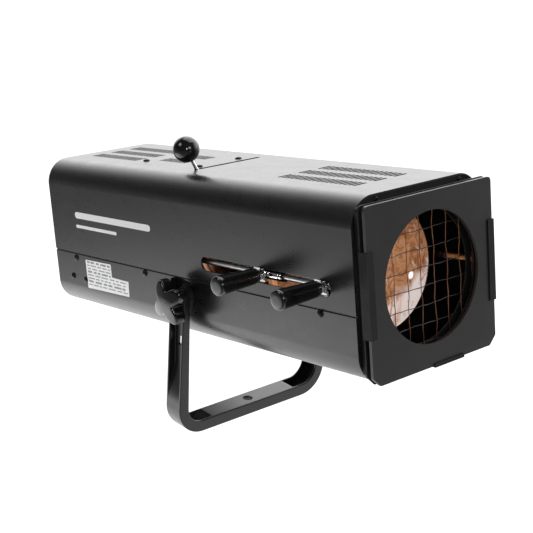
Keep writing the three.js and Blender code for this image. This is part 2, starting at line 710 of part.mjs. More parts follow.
place(optics, 'rear_panel', rearPanel(), BLACK_PAINT);
place(optics, 'fan_frame', fanFrame(), BLACK_PLASTIC);
place(optics, 'fan_impeller', fanImpeller(), BLACK_PLASTIC);
place(optics, 'power_inlet', powerInlet(), BLACK_PLASTIC);
place(optics, 'switch_bezel', switchBezel(), BLACK_PLASTIC);
place(optics, 'switch_rocker', switchRocker(), BLACK_PLASTIC);
place(optics, 'fuse_holder', turnedX([[5.6, REAR_X0 - 1.5], [9, REAR_X0 - 1.5], [9, REAR_X0 - GAP],
  [6.5, REAR_X0 - GAP], [6.5, REAR_X0 + 18], [0, REAR_X0 + 18], [0, REAR_X0 + 14], [5.6, REAR_X0 + 14],
  [5.6, REAR_X0 - 1.5]], 16, FUSE_Y, SERVICE_Z), BLACK_PLASTIC);
place(optics, 'fuse_cap', turnedX([[0, REAR_X0 - 2.7], [4.8, REAR_X0 - 2.7], [5.3, REAR_X0 - 2],
  [5.3, REAR_X0 + 10], [0, REAR_X0 + 10]], 16, FUSE_Y, SERVICE_Z), BLACK_PLASTIC);

// ---------------------------------------------------------------- pivot hardware

function starKnob() {
  const outline = [];
  const points = 40;
  const wave = (KNOB_R - KNOB_NOTCH_R) / 2;
  for (let i = 0; i < points; i += 1) {
    const angle = 2 * Math.PI * i / points + radians(KNOB_PHASE);
    const r = KNOB_NOTCH_R + wave + wave * Math.cos(8 * Math.PI * i / points);
    outline.push([r * Math.cos(angle), r * Math.sin(angle)]);
  }
  const dome = turnedY([[0, KNOB_BACK_Y], [31, KNOB_BACK_Y], [31, KNOB_FACE_Y - 6], [22, KNOB_FACE_Y - 2.7],
    [10, KNOB_FACE_Y - 0.5], [0, KNOB_FACE_Y]], 24);
  const grip = prismY(polygon(outline), KNOB_BACK_Y, KNOB_FACE_Y).intersect(dome);
  const boss = discY(9, 109.6, KNOB_BACK_Y + 1);
  return grip.add(boss).subtract(discY(BOLT_R + GAP, 100, 126));
}

// Everything on one side of the pivot, drawn on the +Y side and turned about Z for the other.
function pivotSide(label, side) {
  const onSide = (body) => (side > 0 ? body : body.rotate([0, 0, 180])).translate([PIVOT_X, 0, PIVOT_Z]);
  const inner = BODY_W / 2 - WALL;
  const nutPlate = box(-14, 14, inner - 3.4, inner - GAP, -10, 10).subtract(discY(BOLT_R + GAP, 80, 100));
  const near = BODY_W / 2 + GAP;
  const far = YOKE_INNER - GAP;
  const spacer = turnedY([[BOLT_R + 1.2, near], [13, near], [13, far], [BOLT_R + 1.2, far],
    [BOLT_R + 1.2, near]], 24);
  const seat = YOKE_INNER + YOKE_SHEET + GAP;
  const washer = turnedY([[BOLT_R + 0.4, seat], [9.5, seat], [9.5, seat + 1.5], [BOLT_R + 0.4, seat + 1.5],
    [BOLT_R + 0.4, seat]], 16);
  place(optics, `pivot_nut_plate_${label}`, onSide(nutPlate), ZINC);
  place(optics, `pivot_spacer_${label}`, onSide(spacer), BLACK_PLASTIC);
  place(optics, `pivot_washer_${label}`, onSide(washer), ZINC);
  place(optics, `pivot_bolt_${label}`, onSide(discY(BOLT_R, inner - 3, 125)), ZINC);
  place(optics, `pivot_knob_${label}`, onSide(starKnob()), BLACK_PLASTIC);
}

pivotSide('operator', -1);
pivotSide('far', 1);

export default spotlight;
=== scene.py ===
"""Looks of a box-bodied follow spotlight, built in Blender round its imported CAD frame.

Shapes are drawn in millimetres in one of two spaces and written in the row frame in metres:
OPTICS has its origin at the centre of the lamp house's front rim, x along the beam and z up, and tilts with
the lamp house; YOKE_SPACE is the row frame itself.
"""

import json
import math
import random

import bmesh
import bpy
from mathutils import Matrix, Vector


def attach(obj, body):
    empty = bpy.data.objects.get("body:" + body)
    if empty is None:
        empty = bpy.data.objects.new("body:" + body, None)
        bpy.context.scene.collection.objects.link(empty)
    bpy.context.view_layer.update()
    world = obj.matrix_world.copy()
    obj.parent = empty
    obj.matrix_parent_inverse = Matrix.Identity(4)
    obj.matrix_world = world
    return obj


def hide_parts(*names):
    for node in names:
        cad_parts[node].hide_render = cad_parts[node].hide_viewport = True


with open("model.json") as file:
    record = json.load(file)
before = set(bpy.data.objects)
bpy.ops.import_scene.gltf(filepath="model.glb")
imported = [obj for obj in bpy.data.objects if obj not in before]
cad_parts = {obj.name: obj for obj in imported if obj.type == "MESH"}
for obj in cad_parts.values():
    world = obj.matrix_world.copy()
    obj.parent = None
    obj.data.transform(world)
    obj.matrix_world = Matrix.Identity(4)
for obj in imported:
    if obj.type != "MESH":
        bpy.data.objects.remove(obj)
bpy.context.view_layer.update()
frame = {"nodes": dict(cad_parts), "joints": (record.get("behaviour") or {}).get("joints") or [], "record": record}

# ------------------------------------------------------------------ the frame, and where its nodes are

MM = 0.001
RECORD = frame["record"]
SLOT_OF = {row["node"]: row["material_slot"] for row in RECORD["subparts"]}
BODY_OF = {node: body for body, nodes in RECORD["behaviour"]["bodies"].items() for node in nodes}
JOINTS = {joint["name"]: joint for joint in frame["joints"]}
BEAM = Vector(JOINTS["focus_slide"]["axis"])
ACROSS = Vector((0, 1, 0))
UPWARD = Vector(JOINTS["color_frame_lift"]["axis"])


def optical_space():
    """Matrix from millimetres in the optical frame to metres in the row frame."""
    on_axis = Vector(JOINTS["iris_lever_swing"]["pos_m"])
    rim = max(v.co.dot(BEAM) for v in frame["nodes"]["cover"].data.vertices)
    origin = on_axis + BEAM * (rim - on_axis.dot(BEAM))
    turn = Matrix((BEAM, ACROSS, UPWARD)).transposed().to_4x4()
    return Matrix.Translation(origin) @ turn @ Matrix.Scale(MM, 4)


OPTICS = optical_space()
YOKE_SPACE = Matrix.Scale(MM, 4)


def limits(node, space=OPTICS):
    """Lowest and highest corner of a CAD node in one of the two spaces, in millimetres."""
    back = space.inverted()
    points = [back @ v.co for v in frame["nodes"][node].data.vertices]
    low = Vector(min(p[i] for p in points) for i in range(3))
    high = Vector(max(p[i] for p in points) for i in range(3))
    return low, high


def middle(node, space=OPTICS):
    low, high = limits(node, space)
    return (low + high) / 2


# ------------------------------------------------------------------ shapes: lists of points and faces


def moved(shape, matrix):
    points, faces = shape
    return [tuple(matrix @ Vector(p)) for p in points], faces


def shifted(shape, x=0, y=0, z=0):
    return moved(shape, Matrix.Translation((x, y, z)))


def joined(*shapes):
    points, faces = [], []
    for some_points, some_faces in shapes:
        start = len(points)
        points += some_points
        faces += [tuple(start + i for i in face) for face in some_faces]
    return points, faces


def eased(outline, radius, closed=True, steps=3):
    """The outline with each corner rounded; an open one keeps its two ends."""
    result = []
    count = len(outline)
    for i, corner in enumerate(outline):
        if not closed and i in (0, count - 1):
            result.append(tuple(corner))
            continue
        here = Vector(corner)
        to_last = Vector(outline[i - 1]) - here
        to_next = Vector(outline[(i + 1) % count]) - here
        reach = min(radius, 0.45 * to_last.length, 0.45 * to_next.length)
        start = here + to_last.normalized() * reach
        end = here + to_next.normalized() * reach
        for step in range(steps + 1):
            t = step / steps
            result.append(tuple(start * (1 - t) ** 2 + here * 2 * t * (1 - t) + end * t * t))
    return result


def arc(u, v, radius, start, end, steps):
    """Points of an arc in degrees."""
    turns = [math.radians(start + (end - start) * i / steps) for i in range(steps + 1)]
    return [(u + radius * math.cos(a), v + radius * math.sin(a)) for a in turns]


def circle(u, v, radius, steps=96):
    return arc(u, v, radius, 0, 360, steps)[:-1]


def rounded_box(u0, u1, v0, v1, radius, steps=6):
    return (
        arc(u1 - radius, v0 + radius, radius, -90, 0, steps)
        + arc(u1 - radius, v1 - radius, radius, 0, 90, steps)
        + arc(u0 + radius, v1 - radius, radius, 90, 180, steps)
        + arc(u0 + radius, v0 + radius, radius, 180, 270, steps)
    )


def prism(outline, low, high, axis="x"):
    """Outline pulled along an axis. It is drawn in (y, z) for x, (x, z) for y and (x, y) for z."""
    place = {
        "x": lambda u, v, w: (w, u, v),
        "y": lambda u, v, w: (u, w, v),
        "z": lambda u, v, w: (u, v, w),
    }[axis]
    count = len(outline)
    points = [place(u, v, low) for u, v in outline] + [place(u, v, high) for u, v in outline]
    faces = [tuple(range(count)), tuple(range(count, 2 * count))]
    for i in range(count):
        after = (i + 1) % count
        faces.append((i, after, count + after, count + i))
    return points, faces


def block(x0, x1, y0, y1, z0, z1):
    return prism([(y0, z0), (y1, z0), (y1, z1), (y0, z1)], x0, x1)


def pierced(outline, holes, low, high):
    """Plate across x with holes right through it."""
    bm = bmesh.new()
    loops = []
    for loop in [outline, *holes]:
        verts = [bm.verts.new((0, u, v)) for u, v in loop]
        for a, b in zip(verts, verts[1:] + verts[:1]):
            bm.edges.new((a, b))
        loops.append(verts)
    bmesh.ops.triangle_fill(bm, use_beauty=True, use_dissolve=False, edges=bm.edges[:])
    bm.verts.index_update()
    flat = [tuple(v.co) for v in bm.verts]
    caps = [tuple(v.index for v in face.verts) for face in bm.faces]
    walls = [[v.index for v in loop] for loop in loops]
    bm.free()
    count = len(flat)
    points = [(low, p[1], p[2]) for p in flat] + [(high, p[1], p[2]) for p in flat]
    faces = caps + [tuple(count + i for i in reversed(face)) for face in caps]
    for loop in walls:
        for a, b in zip(loop, loop[1:] + loop[:1]):
            faces.append((a, b, count + b, count + a))
    return points, faces


def turned(profile, segments=64, closed=False):
    """Surface turned about the x axis from (x, radius) points."""
    points, rings = [], []
    for x, radius in profile:
        if radius < 1e-6:
            rings.append([len(points)])
            points.append((x, 0, 0))
            continue
        rings.append([len(points) + k for k in range(segments)])
        for k in range(segments):
            angle = 2 * math.pi * k / segments
            points.append((x, radius * math.cos(angle), radius * math.sin(angle)))
    faces = []
    for a, b in zip(rings, rings[1:] + rings[:1] if closed else rings[1:]):
        for k in range(segments):
            after = (k + 1) % segments
            if len(a) == 1 and len(b) == 1:
                break
            if len(a) == 1:
                faces.append((a[0], b[after], b[k]))
            elif len(b) == 1:
                faces.append((a[k], a[after], b[0]))
            else:
                faces.append((a[k], a[after], b[after], b[k]))
    return points, faces


ALONG_Y = Matrix.Rotation(math.radians(90), 4, "Z")
ALONG_Z = Matrix.Rotation(math.radians(-90), 4, "Y")


def ring(a, b, inner, outer, ease, segments=64):
    """Flat ring round the x axis, from a to b along it."""
    return turned(eased([(a, inner), (a, outer), (b, outer), (b, inner)], ease), segments, True)


def bar(a, b, radius, ease, segments):
    """Round bar along the x axis."""
    return turned(eased([(a, 0), (a, radius), (b, radius), (b, 0)], ease, False), segments)


def mirrored(shape):
    """The shape on the other side of the y = 0 plane."""
    points, faces = shape
    return [(x, -y, z) for x, y, z in points], faces


def walls_between(sections, size):
    """Faces between sections of that many points each, one after another."""
    faces = []
    for i in range(sections - 1):
        for k in range(size):
            after = (k + 1) % size
            faces.append((size * i + k, size * i + after, size * (i + 1) + after, size * (i + 1) + k))
    return faces


def swept(path, radius, sides=10):
    """Round wire along a path, with flat ends."""
    points = []
    count = len(path)
    for i, here in enumerate(path):
        heading = (Vector(path[min(i + 1, count - 1)]) - Vector(path[max(i - 1, 0)])).normalized()
        helper = Vector((0, 0, 1)) if abs(heading.z) < 0.8 else Vector((0, 1, 0))
        u = heading.cross(helper).normalized()
        v = heading.cross(u)
        for k in range(sides):
            angle = 2 * math.pi * k / sides
            points.append(tuple(Vector(here) + radius * (math.cos(angle) * u + math.sin(angle) * v)))
    ends = [tuple(range(sides)), tuple(range(sides * (count - 1), sides * count))]
    return points, ends + walls_between(count, sides)


def mesh_from(shape, name="shape"):
    """Mesh with merged points and outward faces."""
    points, faces = shape
    mesh = bpy.data.meshes.new(name)
    mesh.from_pydata(points, [], faces)
    bm = bmesh.new()
    bm.from_mesh(mesh)
    bmesh.ops.remove_doubles(bm, verts=bm.verts[:], dist=1e-5)
    bmesh.ops.recalc_face_normals(bm, faces=bm.faces[:])
    bm.to_mesh(mesh)
    bm.free()
    return mesh


def combined(shape, others, operation):
    """Boolean of a shape with each of the others in turn."""
    base = bpy.data.objects.new("base", mesh_from(shape))
    helpers = [base]
    bpy.context.scene.collection.objects.link(base)
    for other in others:
        tool = bpy.data.objects.new("tool", mesh_from(other))
        bpy.context.scene.collection.objects.link(tool)
        helpers.append(tool)
        modifier = base.modifiers.new("cut", "BOOLEAN")
        modifier.object = tool
        modifier.operation = operation
        modifier.solver = "EXACT"
    evaluated = base.evaluated_get(bpy.context.evaluated_depsgraph_get())
    made = bpy.data.meshes.new_from_object(evaluated)
    result = ([tuple(v.co) for v in made.vertices], [tuple(p.vertices) for p in made.polygons])
    for helper in helpers:
        bpy.data.objects.remove(helper)
    return result


def carved(shape, *cutters):
    return combined(shape, cutters, "DIFFERENCE")


# ------------------------------------------------------------------ materials


class Graph:
    """Shader nodes of one material or world."""

    def __init__(self, tree):
        self.tree = tree

    def add(self, kind, **settings):
        made = self.tree.nodes.new(kind)
        for key, value in settings.items():
            setattr(made, key, value)
        return made

    def join(self, source, socket):
        self.tree.links.new(source, socket)

    def feed(self, values, sockets):
        """Gives each socket a constant or another socket's value."""
        for value, socket in zip(values, sockets):
            if isinstance(value, bpy.types.NodeSocket):
                self.join(value, socket)
            else:
                socket.default_value = value

    def math(self, operation, *values):
        made = self.add("ShaderNodeMath", operation=operation)
        self.feed(values, made.inputs)
        return made.outputs[0]

    def times(self, a, b):
        return self.math("MULTIPLY", a, b)

    def vector(self, operation, *values):
        made = self.add("ShaderNodeVectorMath", operation=operation)
        self.feed(values, made.inputs)
        one_number = operation in ("DOT_PRODUCT", "DISTANCE", "LENGTH")
        return made.outputs["Value" if one_number else "Vector"]

    def parts(self, vector):
        """Sockets X, Y and Z of a vector."""
        made = self.add("ShaderNodeSeparateXYZ")
        self.join(vector, made.inputs[0])
        return made.outputs

    def band(self, value, start, end, low=0.0, high=1.0, shape="LINEAR"):
        """Maps start..end on to low..high, held level outside."""
        made = self.add("ShaderNodeMapRange", interpolation_type=shape)
        sockets = [made.inputs[name] for name in ("From Min", "From Max", "To Min", "To Max")]
        self.feed((start, end, low, high), sockets)
        self.join(value, made.inputs["Value"])
        return made.outputs["Result"]

    def blend(self, amount, first, second):
        """Colour between two, each a colour or a socket."""
        made = self.add("ShaderNodeMix", data_type="RGBA")
        colors = [(*color, 1) if isinstance(color, tuple) else color for color in (first, second)]
        self.feed((amount, *colors), (made.inputs["Factor"], made.inputs[6], made.inputs[7]))
        return made.outputs[2]

    def for_camera(self, lit, seen):
        """One value for light that falls on things and another where the camera looks straight at it."""
        made = self.add("ShaderNodeMix", data_type="FLOAT")
        straight = self.add("ShaderNodeLightPath").outputs["Is Camera Ray"]
        self.feed((straight, lit, seen), (made.inputs[0], made.inputs[2], made.inputs[3]))
        return made.outputs[0]


class Recipe(Graph):
    """A material's nodes, with textures laid out in the part's own space. Sizes are in millimetres."""

    def __init__(self, slot):
        self.material = bpy.data.materials.new(slot)
        self.material.use_nodes = True
        super().__init__(self.material.node_tree)
        self.shader = self.tree.nodes["Principled BSDF"]
        self.place = self.add("ShaderNodeTexCoord").outputs["Object"]

    def noise(self, size, detail=4, stretch=(1, 1, 1), roughness=0.55, distortion=0):
        """Noise with features of about that many millimetres, between 0 and 1."""
        mapping = self.add("ShaderNodeMapping")
        self.feed((self.place, stretch), (mapping.inputs["Vector"], mapping.inputs["Scale"]))
        made = self.add("ShaderNodeTexNoise")
        names = ("Vector", "Scale", "Detail", "Roughness", "Distortion")
        values = (mapping.outputs["Vector"], 1 / (size * MM), detail, roughness, distortion)
        self.feed(values, [made.inputs[name] for name in names])
        return made.outputs["Fac"]

    def specks(self, spacing, size):
        """1 in small round specks, 0 between them."""
        made = self.add("ShaderNodeTexVoronoi")
        self.feed((self.place, 1 / (spacing * MM)), (made.inputs["Vector"], made.inputs["Scale"]))
        return self.band(made.outputs["Distance"], size, size * 0.4)

    def facing(self):
        return self.add("ShaderNodeNewGeometry").outputs["Normal"]

    def steepness(self, low, high):
        """1 on faces that look up, 0 on those that don't."""
        return self.band(self.parts(self.facing())["Z"], low, high)

    def edges(self, reach=0.7):
        """1 on edges, within that many millimetres, however the mesh is cut into faces."""
        rounded = self.add("ShaderNodeBevel", samples=4)
        rounded.inputs["Radius"].default_value = reach * MM
        return self.band(self.vector("DOT_PRODUCT", rounded.outputs["Normal"], self.facing()), 0.985, 0.86)

    def turning(self):
        """Fine rings round the optical axis, as a lathe or a stamping leaves them, between 0 and 1."""
        away = self.vector("SUBTRACT", self.place, OPTICS.translation)
        radius = self.vector("LENGTH", self.vector("CROSS_PRODUCT", away, BEAM))
        rings = self.add("ShaderNodeTexNoise", noise_dimensions="1D")
        self.feed((radius, 1 / (4 * MM), 3), [rings.inputs[name] for name in ("W", "Scale", "Detail")])
        return rings.outputs["Fac"]

    def bump(self, height, depth, under=None):
        """Relief that deep in millimetres, on top of another."""
        made = self.add("ShaderNodeBump")
        made.inputs["Distance"].default_value = depth * MM
        self.join(height, made.inputs["Height"])
        if under is not None:
            self.join(under, made.inputs["Normal"])
        return made.outputs["Normal"]

    def finish(self, color, roughness, normal, **constants):
        sockets = [self.shader.inputs[name] for name in ("Base Color", "Roughness", "Normal")]
        self.feed((color, roughness, normal), sockets)
        for key, value in constants.items():
            self.shader.inputs[key.replace("_", " ").title().replace("Ior", "IOR")].default_value = value
        return self.material


def paint(slot, dark, light, rough_low, rough_high, grain, dust=0.12, level=0.5):
    """Powder-coated sheet: fine orange peel, slight waviness, smudges, dust on top, and paler edges that are
    partly rubbed paint and partly a painted highlight.
    """
    r = Recipe(slot)
    cloud = r.noise(55, 3)
    smudge = r.noise(18, 5, (1, 1, 2.2), 0.6)
    peel = r.noise(grain, 2)
    wave = r.noise(140, 1)
    color = r.blend(r.band(cloud, 0.35, 0.65), dark, light)
    dusty = tuple(0.09 + 0.4 * c for c in light)
    color = r.blend(r.times(r.times(r.steepness(0.5, 0.95), r.band(smudge, 0.4, 0.75)), dust), color, dusty)
    # Paler edges: partly rubbed paint, partly a painted highlight along the rounded edges.
    color = r.blend(r.times(r.edges(), 0.35), color, (0.075, 0.076, 0.08))
    roughness = r.band(smudge, 0.2, 0.8, rough_low, rough_high)
    normal = r.bump(wave, 0.2)
    normal = r.bump(peel, 0.005, normal)
    return r.finish(color, roughness, normal, specular_ior_level=level)


def moulding(slot, base, rough_low, rough_high, grain=0.5, depth=0.01, level=0.5):
    """Moulded plastic: faint flow tone, fingerprints and fine rubbing."""
    r = Recipe(slot)
    smudge = r.noise(7, 6, (1, 1, 1.6), 0.62)
    rub = r.noise(1.1, 4, (1, 10, 1), 0.7)
    grainy = r.noise(grain, 2)
    lighter = tuple(1.8 * c + 0.004 for c in base)
    color = r.blend(r.band(r.noise(22, 3), 0.35, 0.7), base, lighter)
    color = r.blend(r.times(r.edges(0.5), 0.25), color, (0.06, 0.06, 0.06))
    color = r.blend(r.times(r.specks(1.7, 0.13), 0.25), color, (0.14, 0.14, 0.14))
    roughness = r.band(smudge, 0.3, 0.72, rough_low, rough_high)
    normal = r.bump(grainy, depth)
    normal = r.bump(rub, 0.004, normal)
    return r.finish(color, roughness, normal, specular_ior_level=level)


def metal(slot, base, tint, rough_low, rough_high, stretch=(1, 1, 1), lines=0.012, glow=0):
    """Bare or plated metal: brushing along one way, cloudy tone and small tarnish; with glow, painted shade and
    highlights in rings and a painted glow by emission.
    """
    r = Recipe(slot)
    brushing = r.noise(0.7, 4, stretch, 0.7)
    cloud = r.noise(16, 5, (1, 1, 1), 0.6, 0.6)
    spots = r.noise(3.5, 5, (1, 1, 1), 0.7)
    color = r.blend(r.band(cloud, 0.38, 0.66), base, tint)
    dark = tuple(0.35 * c for c in tint)
    color = r.blend(r.times(r.band(spots, 0.58, 0.72), 0.55), color, dark)
    roughness = r.band(brushing, 0.3, 0.7, rough_low, rough_high)
    normal = r.bump(brushing, lines)
    if glow:
        # Dark rings are painted shade in the grooves and pale rings a painted highlight on the ridges.
        rings = r.turning()
        color = r.blend(r.band(rings, 0.47, 0.36), color, tuple(0.12 * c for c in tint))
        color = r.blend(r.times(r.band(rings, 0.55, 0.66), 0.6), color, (1.0, 0.66, 0.46))
        normal = r.bump(rings, 0.15, normal)
        r.join(color, r.shader.inputs["Emission Color"])
        # Painted light: only the operator's side glows by emission, where the lens handles' slot lets light in.
        lit = r.band(r.parts(r.place)["Y"], -36 * MM, -54 * MM, 0, glow)
        r.join(lit, r.shader.inputs["Emission Strength"])
    return r.finish(color, roughness, normal, metallic=1.0)


def lens_painted_light(slot):
    """Lens painted with light: a mottled copper colour for the lit inside seen through it, a pale streaked painted
    reflection low down and one painted glint, all glowing by emission.
    """
    r = Recipe(slot)
    sides = r.parts(r.place)
    low, high = limits("focus_lens")
    middle_height = (OPTICS @ Vector((low.x, 0, 0))).z
    slope = r.math("MULTIPLY_ADD", sides["Y"], -0.55, sides["Z"])
    border = r.math("ADD", slope, r.band(r.noise(26, 4), 0.3, 0.7, -16 * MM, 16 * MM))
    painted_reflection_mask = r.band(border, middle_height - 30 * MM, middle_height - 50 * MM)
    glint = r.vector("DISTANCE", r.place, OPTICS @ Vector((high.x - 2.7, 34.8, -14)))
    mottle = r.noise(22, 6, (1, 1, 1), 0.66, 1.8)
    veins = r.band(r.noise(30, 4, (1, 1, 1), 0.55, 3.0), 0.55, 0.64)
    streaks = r.noise(9, 3, (1, 1.8, 0.3), 0.55, 0.4)
    # Painted light: the copper mottle, its bright veins and brown blotches stand in for the lit inside seen
    # through the lens.
    copper = r.blend(r.band(mottle, 0.4, 0.6), (0.42, 0.155, 0.06), (0.86, 0.42, 0.21))
    copper = r.blend(r.times(veins, 0.75), copper, (1.0, 0.72, 0.5))
    # Painted reflection: the pale streaked patch low down.
    runs = r.times(r.band(streaks, 0.56, 0.42), r.band(sides["Y"], 30 * MM, 4 * MM, 0.12, 1))
    pale = r.blend(runs, (1.0, 0.9, 0.86), (0.72, 0.36, 0.24))
    color = r.blend(painted_reflection_mask, copper, pale)
    color = r.blend(r.times(r.band(mottle, 0.56, 0.66), 0.7), color, (0.3, 0.11, 0.05))
    # Painted glint: one bright white spot.
    painted_glint = r.band(glint, 6 * MM, 2.2 * MM)
    color = r.blend(painted_glint, color, (1.0, 0.98, 0.96))
    # The painted colours glow by emission, so the lens lights up though it is no lamp.
    r.join(color, r.shader.inputs["Emission Color"])
    painted_glow = r.math("MAXIMUM", r.band(painted_glint, 0, 1, 0, 1.4), r.band(painted_reflection_mask, 0, 1, 0.16, 0.36))
    r.join(painted_glow, r.shader.inputs["Emission Strength"])
    roughness = r.band(streaks, 0.35, 0.8, 0.03, 0.12)
    return r.finish(color, roughness, r.bump(streaks, 0.004), transmission_weight=0.05, ior=1.6)


def glass(slot, clear, warm, transmission, stain):
    """Glass with a warm coating that is uneven, dust and wipe marks."""
    r = Recipe(slot)
    wipe = r.noise(9, 5, (1, 2.4, 0.6), 0.65, 1.2)
    cloud = r.noise(34, 6, (1, 1, 1), 0.68, 1.4)
    color = r.blend(r.band(cloud, 0.36, 0.64), clear, warm)
    color = r.blend(r.times(r.specks(2.2, 0.1), 0.3), color, stain)
    roughness = r.band(wipe, 0.35, 0.8, 0.01, 0.09)
    normal = r.bump(wipe, 0.006)
    return r.finish(color, roughness, normal, transmission_weight=transmission, ior=1.5)


def ceramic(slot):
    r = Recipe(slot)
    color = r.blend(r.band(r.noise(12, 5), 0.35, 0.7), (0.78, 0.75, 0.68), (0.62, 0.57, 0.48))
    color = r.blend(r.times(r.specks(1.1, 0.2), 0.3), color, (0.3, 0.26, 0.2))
    return r.finish(color, r.band(r.noise(3, 4), 0.3, 0.7, 0.5, 0.75), r.bump(r.noise(0.6, 3), 0.03))


def matt_print(slot, cloud, ramp, first, second, smudge, rough, grain, depth):
    """Printed or painted surface: cloud, smudge and grain are the sizes of its three unevennesses."""
    r = Recipe(slot)
    color = r.blend(r.band(r.noise(*cloud), *ramp), first, second)
    return r.finish(color, r.band(r.noise(*smudge), 0.3, 0.7, *rough), r.bump(r.noise(grain, 3), depth))


ALONG_BEAM = (0.08, 1, 1)
# Each look's maker and what it takes after the name.
LOOK_RECIPES = {
    "body_paint": (paint, (0.0065, 0.0066, 0.0075), (0.0095, 0.0096, 0.0106), 0.25, 0.33, 0.9),
    "panel_black": (paint, (0.006, 0.006, 0.0065), (0.01, 0.01, 0.011), 0.5, 0.65, 0.7, 0.15, 0.2),
    "frame_paint": (paint, (0.0075, 0.0076, 0.0082), (0.0105, 0.0106, 0.0114), 0.3, 0.42, 0.7),
    "knob_plastic": (moulding, (0.0028, 0.0028, 0.003), 0.05, 0.13, 0.5, 0.004),
    "yoke_paint": (paint, (0.0055, 0.0055, 0.006), (0.008, 0.008, 0.0086), 0.26, 0.38, 0.7, 0.1, 0.42),
    "screw_black": (moulding, (0.003, 0.003, 0.0032), 0.12, 0.24, 0.5, 0.004, 0.2),
    "service_plastic": (moulding, (0.008, 0.008, 0.0085), 0.35, 0.55, 0.4, 0.03),
    "zinc_plate": (metal, (0.5, 0.5, 0.49), (0.34, 0.34, 0.33), 0.1, 0.24, (1, 1, 1), 0.03),
    "rod_steel": (metal, (0.62, 0.62, 0.62), (0.46, 0.46, 0.46), 0.3, 0.42, ALONG_BEAM),
    "chrome": (metal, (0.85, 0.86, 0.87), (0.76, 0.77, 0.79), 0.04, 0.1, (1, 1, 1), 0.003),
    # copper_tone glows a little by emission: painted light.
    "copper_tone": (metal, (0.78, 0.4, 0.22), (0.58, 0.26, 0.13), 0.16, 0.34, (1, 1, 1), 0.02, 0.45),
    # A darkened copy of the copper look: painted shade.
    "copper_shade": (metal, (0.035, 0.02, 0.014), (0.02, 0.012, 0.01), 0.3, 0.5),
    # Near-black matt look for the sheet inside the lamp house: painted shade.
    "liner_black": (moulding, (0.0015, 0.0015, 0.0016), 0.8, 0.95, 0.8, 0.02, 0.02),
    # Warm copper tint on steel: a painted reflection of the copper-lit inside.
    "rod_warm": (metal, (0.66, 0.42, 0.22), (0.45, 0.27, 0.13), 0.25, 0.4, ALONG_BEAM),
    "guard_wire": (metal, (0.42, 0.21, 0.12), (0.24, 0.12, 0.075), 0.28, 0.5),
    # A darker copy of the guard wire's look for the level wires: painted shade.
    "guard_level": (metal, (0.11, 0.095, 0.09), (0.06, 0.052, 0.05), 0.28, 0.5),
    "blade_steel": (metal, (0.12, 0.1, 0.09), (0.07, 0.058, 0.055), 0.3, 0.5),
    "lens_glass": (lens_painted_light,),
    "bulb_glass": (glass, (0.97, 0.98, 0.98), (0.9, 0.9, 0.88), 0.97, (0.6, 0.6, 0.6)),
    "lamp_ceramic": (ceramic,),
    "reflector_mirror": (metal, (0.86, 0.86, 0.87), (0.78, 0.77, 0.76), 0.06, 0.16),
    "label_print": (matt_print, (14, 4), (0.3, 0.7), (0.9, 0.9, 0.9), (0.8, 0.8, 0.8), (5, 3),
                    (0.28, 0.45), 2, 0.01),
    "print_ink": (matt_print, (1.2, 5), (0.3, 0.75), (0.19, 0.19, 0.2), (0.34, 0.34, 0.35),
                  (3, 3), (0.35, 0.5), 0.8, 0.005),
    "decal_white": (matt_print, (1.0, 6), (0.5, 0.8), (0.8, 0.8, 0.8), (0.62, 0.62, 0.62), (6, 4),
                    (0.35, 0.5), 0.9, 0.01),
}
LOOKS = {name: maker(name, *settings) for name, (maker, *settings) in LOOK_RECIPES.items()}


# ------------------------------------------------------------------ pieces


def piece(
    name, shape, stands_for=(), space=OPTICS, body="", slot="", look="", bevel=0.0, angle=32, segments=2
):
    """Shape as an object that rides its body, with a record slot and its look, or another look.

    It hides the CAD nodes that it stands for. bevel is in millimetres and angle, for sharp edges, in degrees.
    """
    mesh = mesh_from(shape, name)
    mesh.transform(space)
    mesh.shade_smooth()
    mesh.set_sharp_from_angle(angle=math.radians(angle))
    made = bpy.data.objects.new(name, mesh)
    bpy.context.scene.collection.objects.link(made)
    slot = slot or SLOT_OF[stands_for[0]]
    mesh.materials.append(LOOKS[look or slot])
    if bevel:
        soften(made, bevel, segments)
    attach(made, body or BODY_OF[stands_for[0]])
    if stands_for:
        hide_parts(*stands_for)
    return made


def soften(made, width, segments=2):
    """Rounded edges on a hard shape."""
    modifier = made.modifiers.new("edges", "BEVEL")
    modifier.width = width * MM
    modifier.segments = segments
    modifier.limit_method = "ANGLE"
    modifier.angle_limit = math.radians(40)
    weigh_normals(made)


def weigh_normals(made):
    """Shading that lets the large flat faces stay flat."""
    weighted = made.modifiers.new("flat_faces", "WEIGHTED_NORMAL")
    weighted.keep_sharp = True
    weighted.weight = 90


CORNER_STEPS = 20
WALL = 2.0
cover_low, cover_high = limits("cover")
HALF_WIDTH = cover_high.y
HALF_HEIGHT = cover_high.z
CORNER = 31.5
BACK = cover_low.x
SEAM_TOP = cover_low.z
SEAM_LOW = SEAM_TOP - 0.3


def house_arc(inset, start, end):
    """One long corner's arc; start and end in degrees choose the corner."""
    side = 1 if math.cos(math.radians((start + end) / 2)) > 0 else -1
    up = 1 if math.sin(math.radians((start + end) / 2)) > 0 else -1
    u = side * (HALF_WIDTH - CORNER)
    v = up * (HALF_HEIGHT - CORNER)
    return arc(u, v, CORNER - inset, start, end, CORNER_STEPS)


def house_outline(inset, corners=(0, 90, 180, 270)):
    """The lamp house's section, or some of its corners, named by the degrees where they start."""
    return [point for start in corners for point in house_arc(inset, start, start + 90)]


def stadium(u0, u1, v0, v1, steps=8):
    """Slot with round ends, along its longer side."""
    return rounded_box(u0, u1, v0, v1, min(u1 - u0, v1 - v0) / 2 - 0.01, steps)


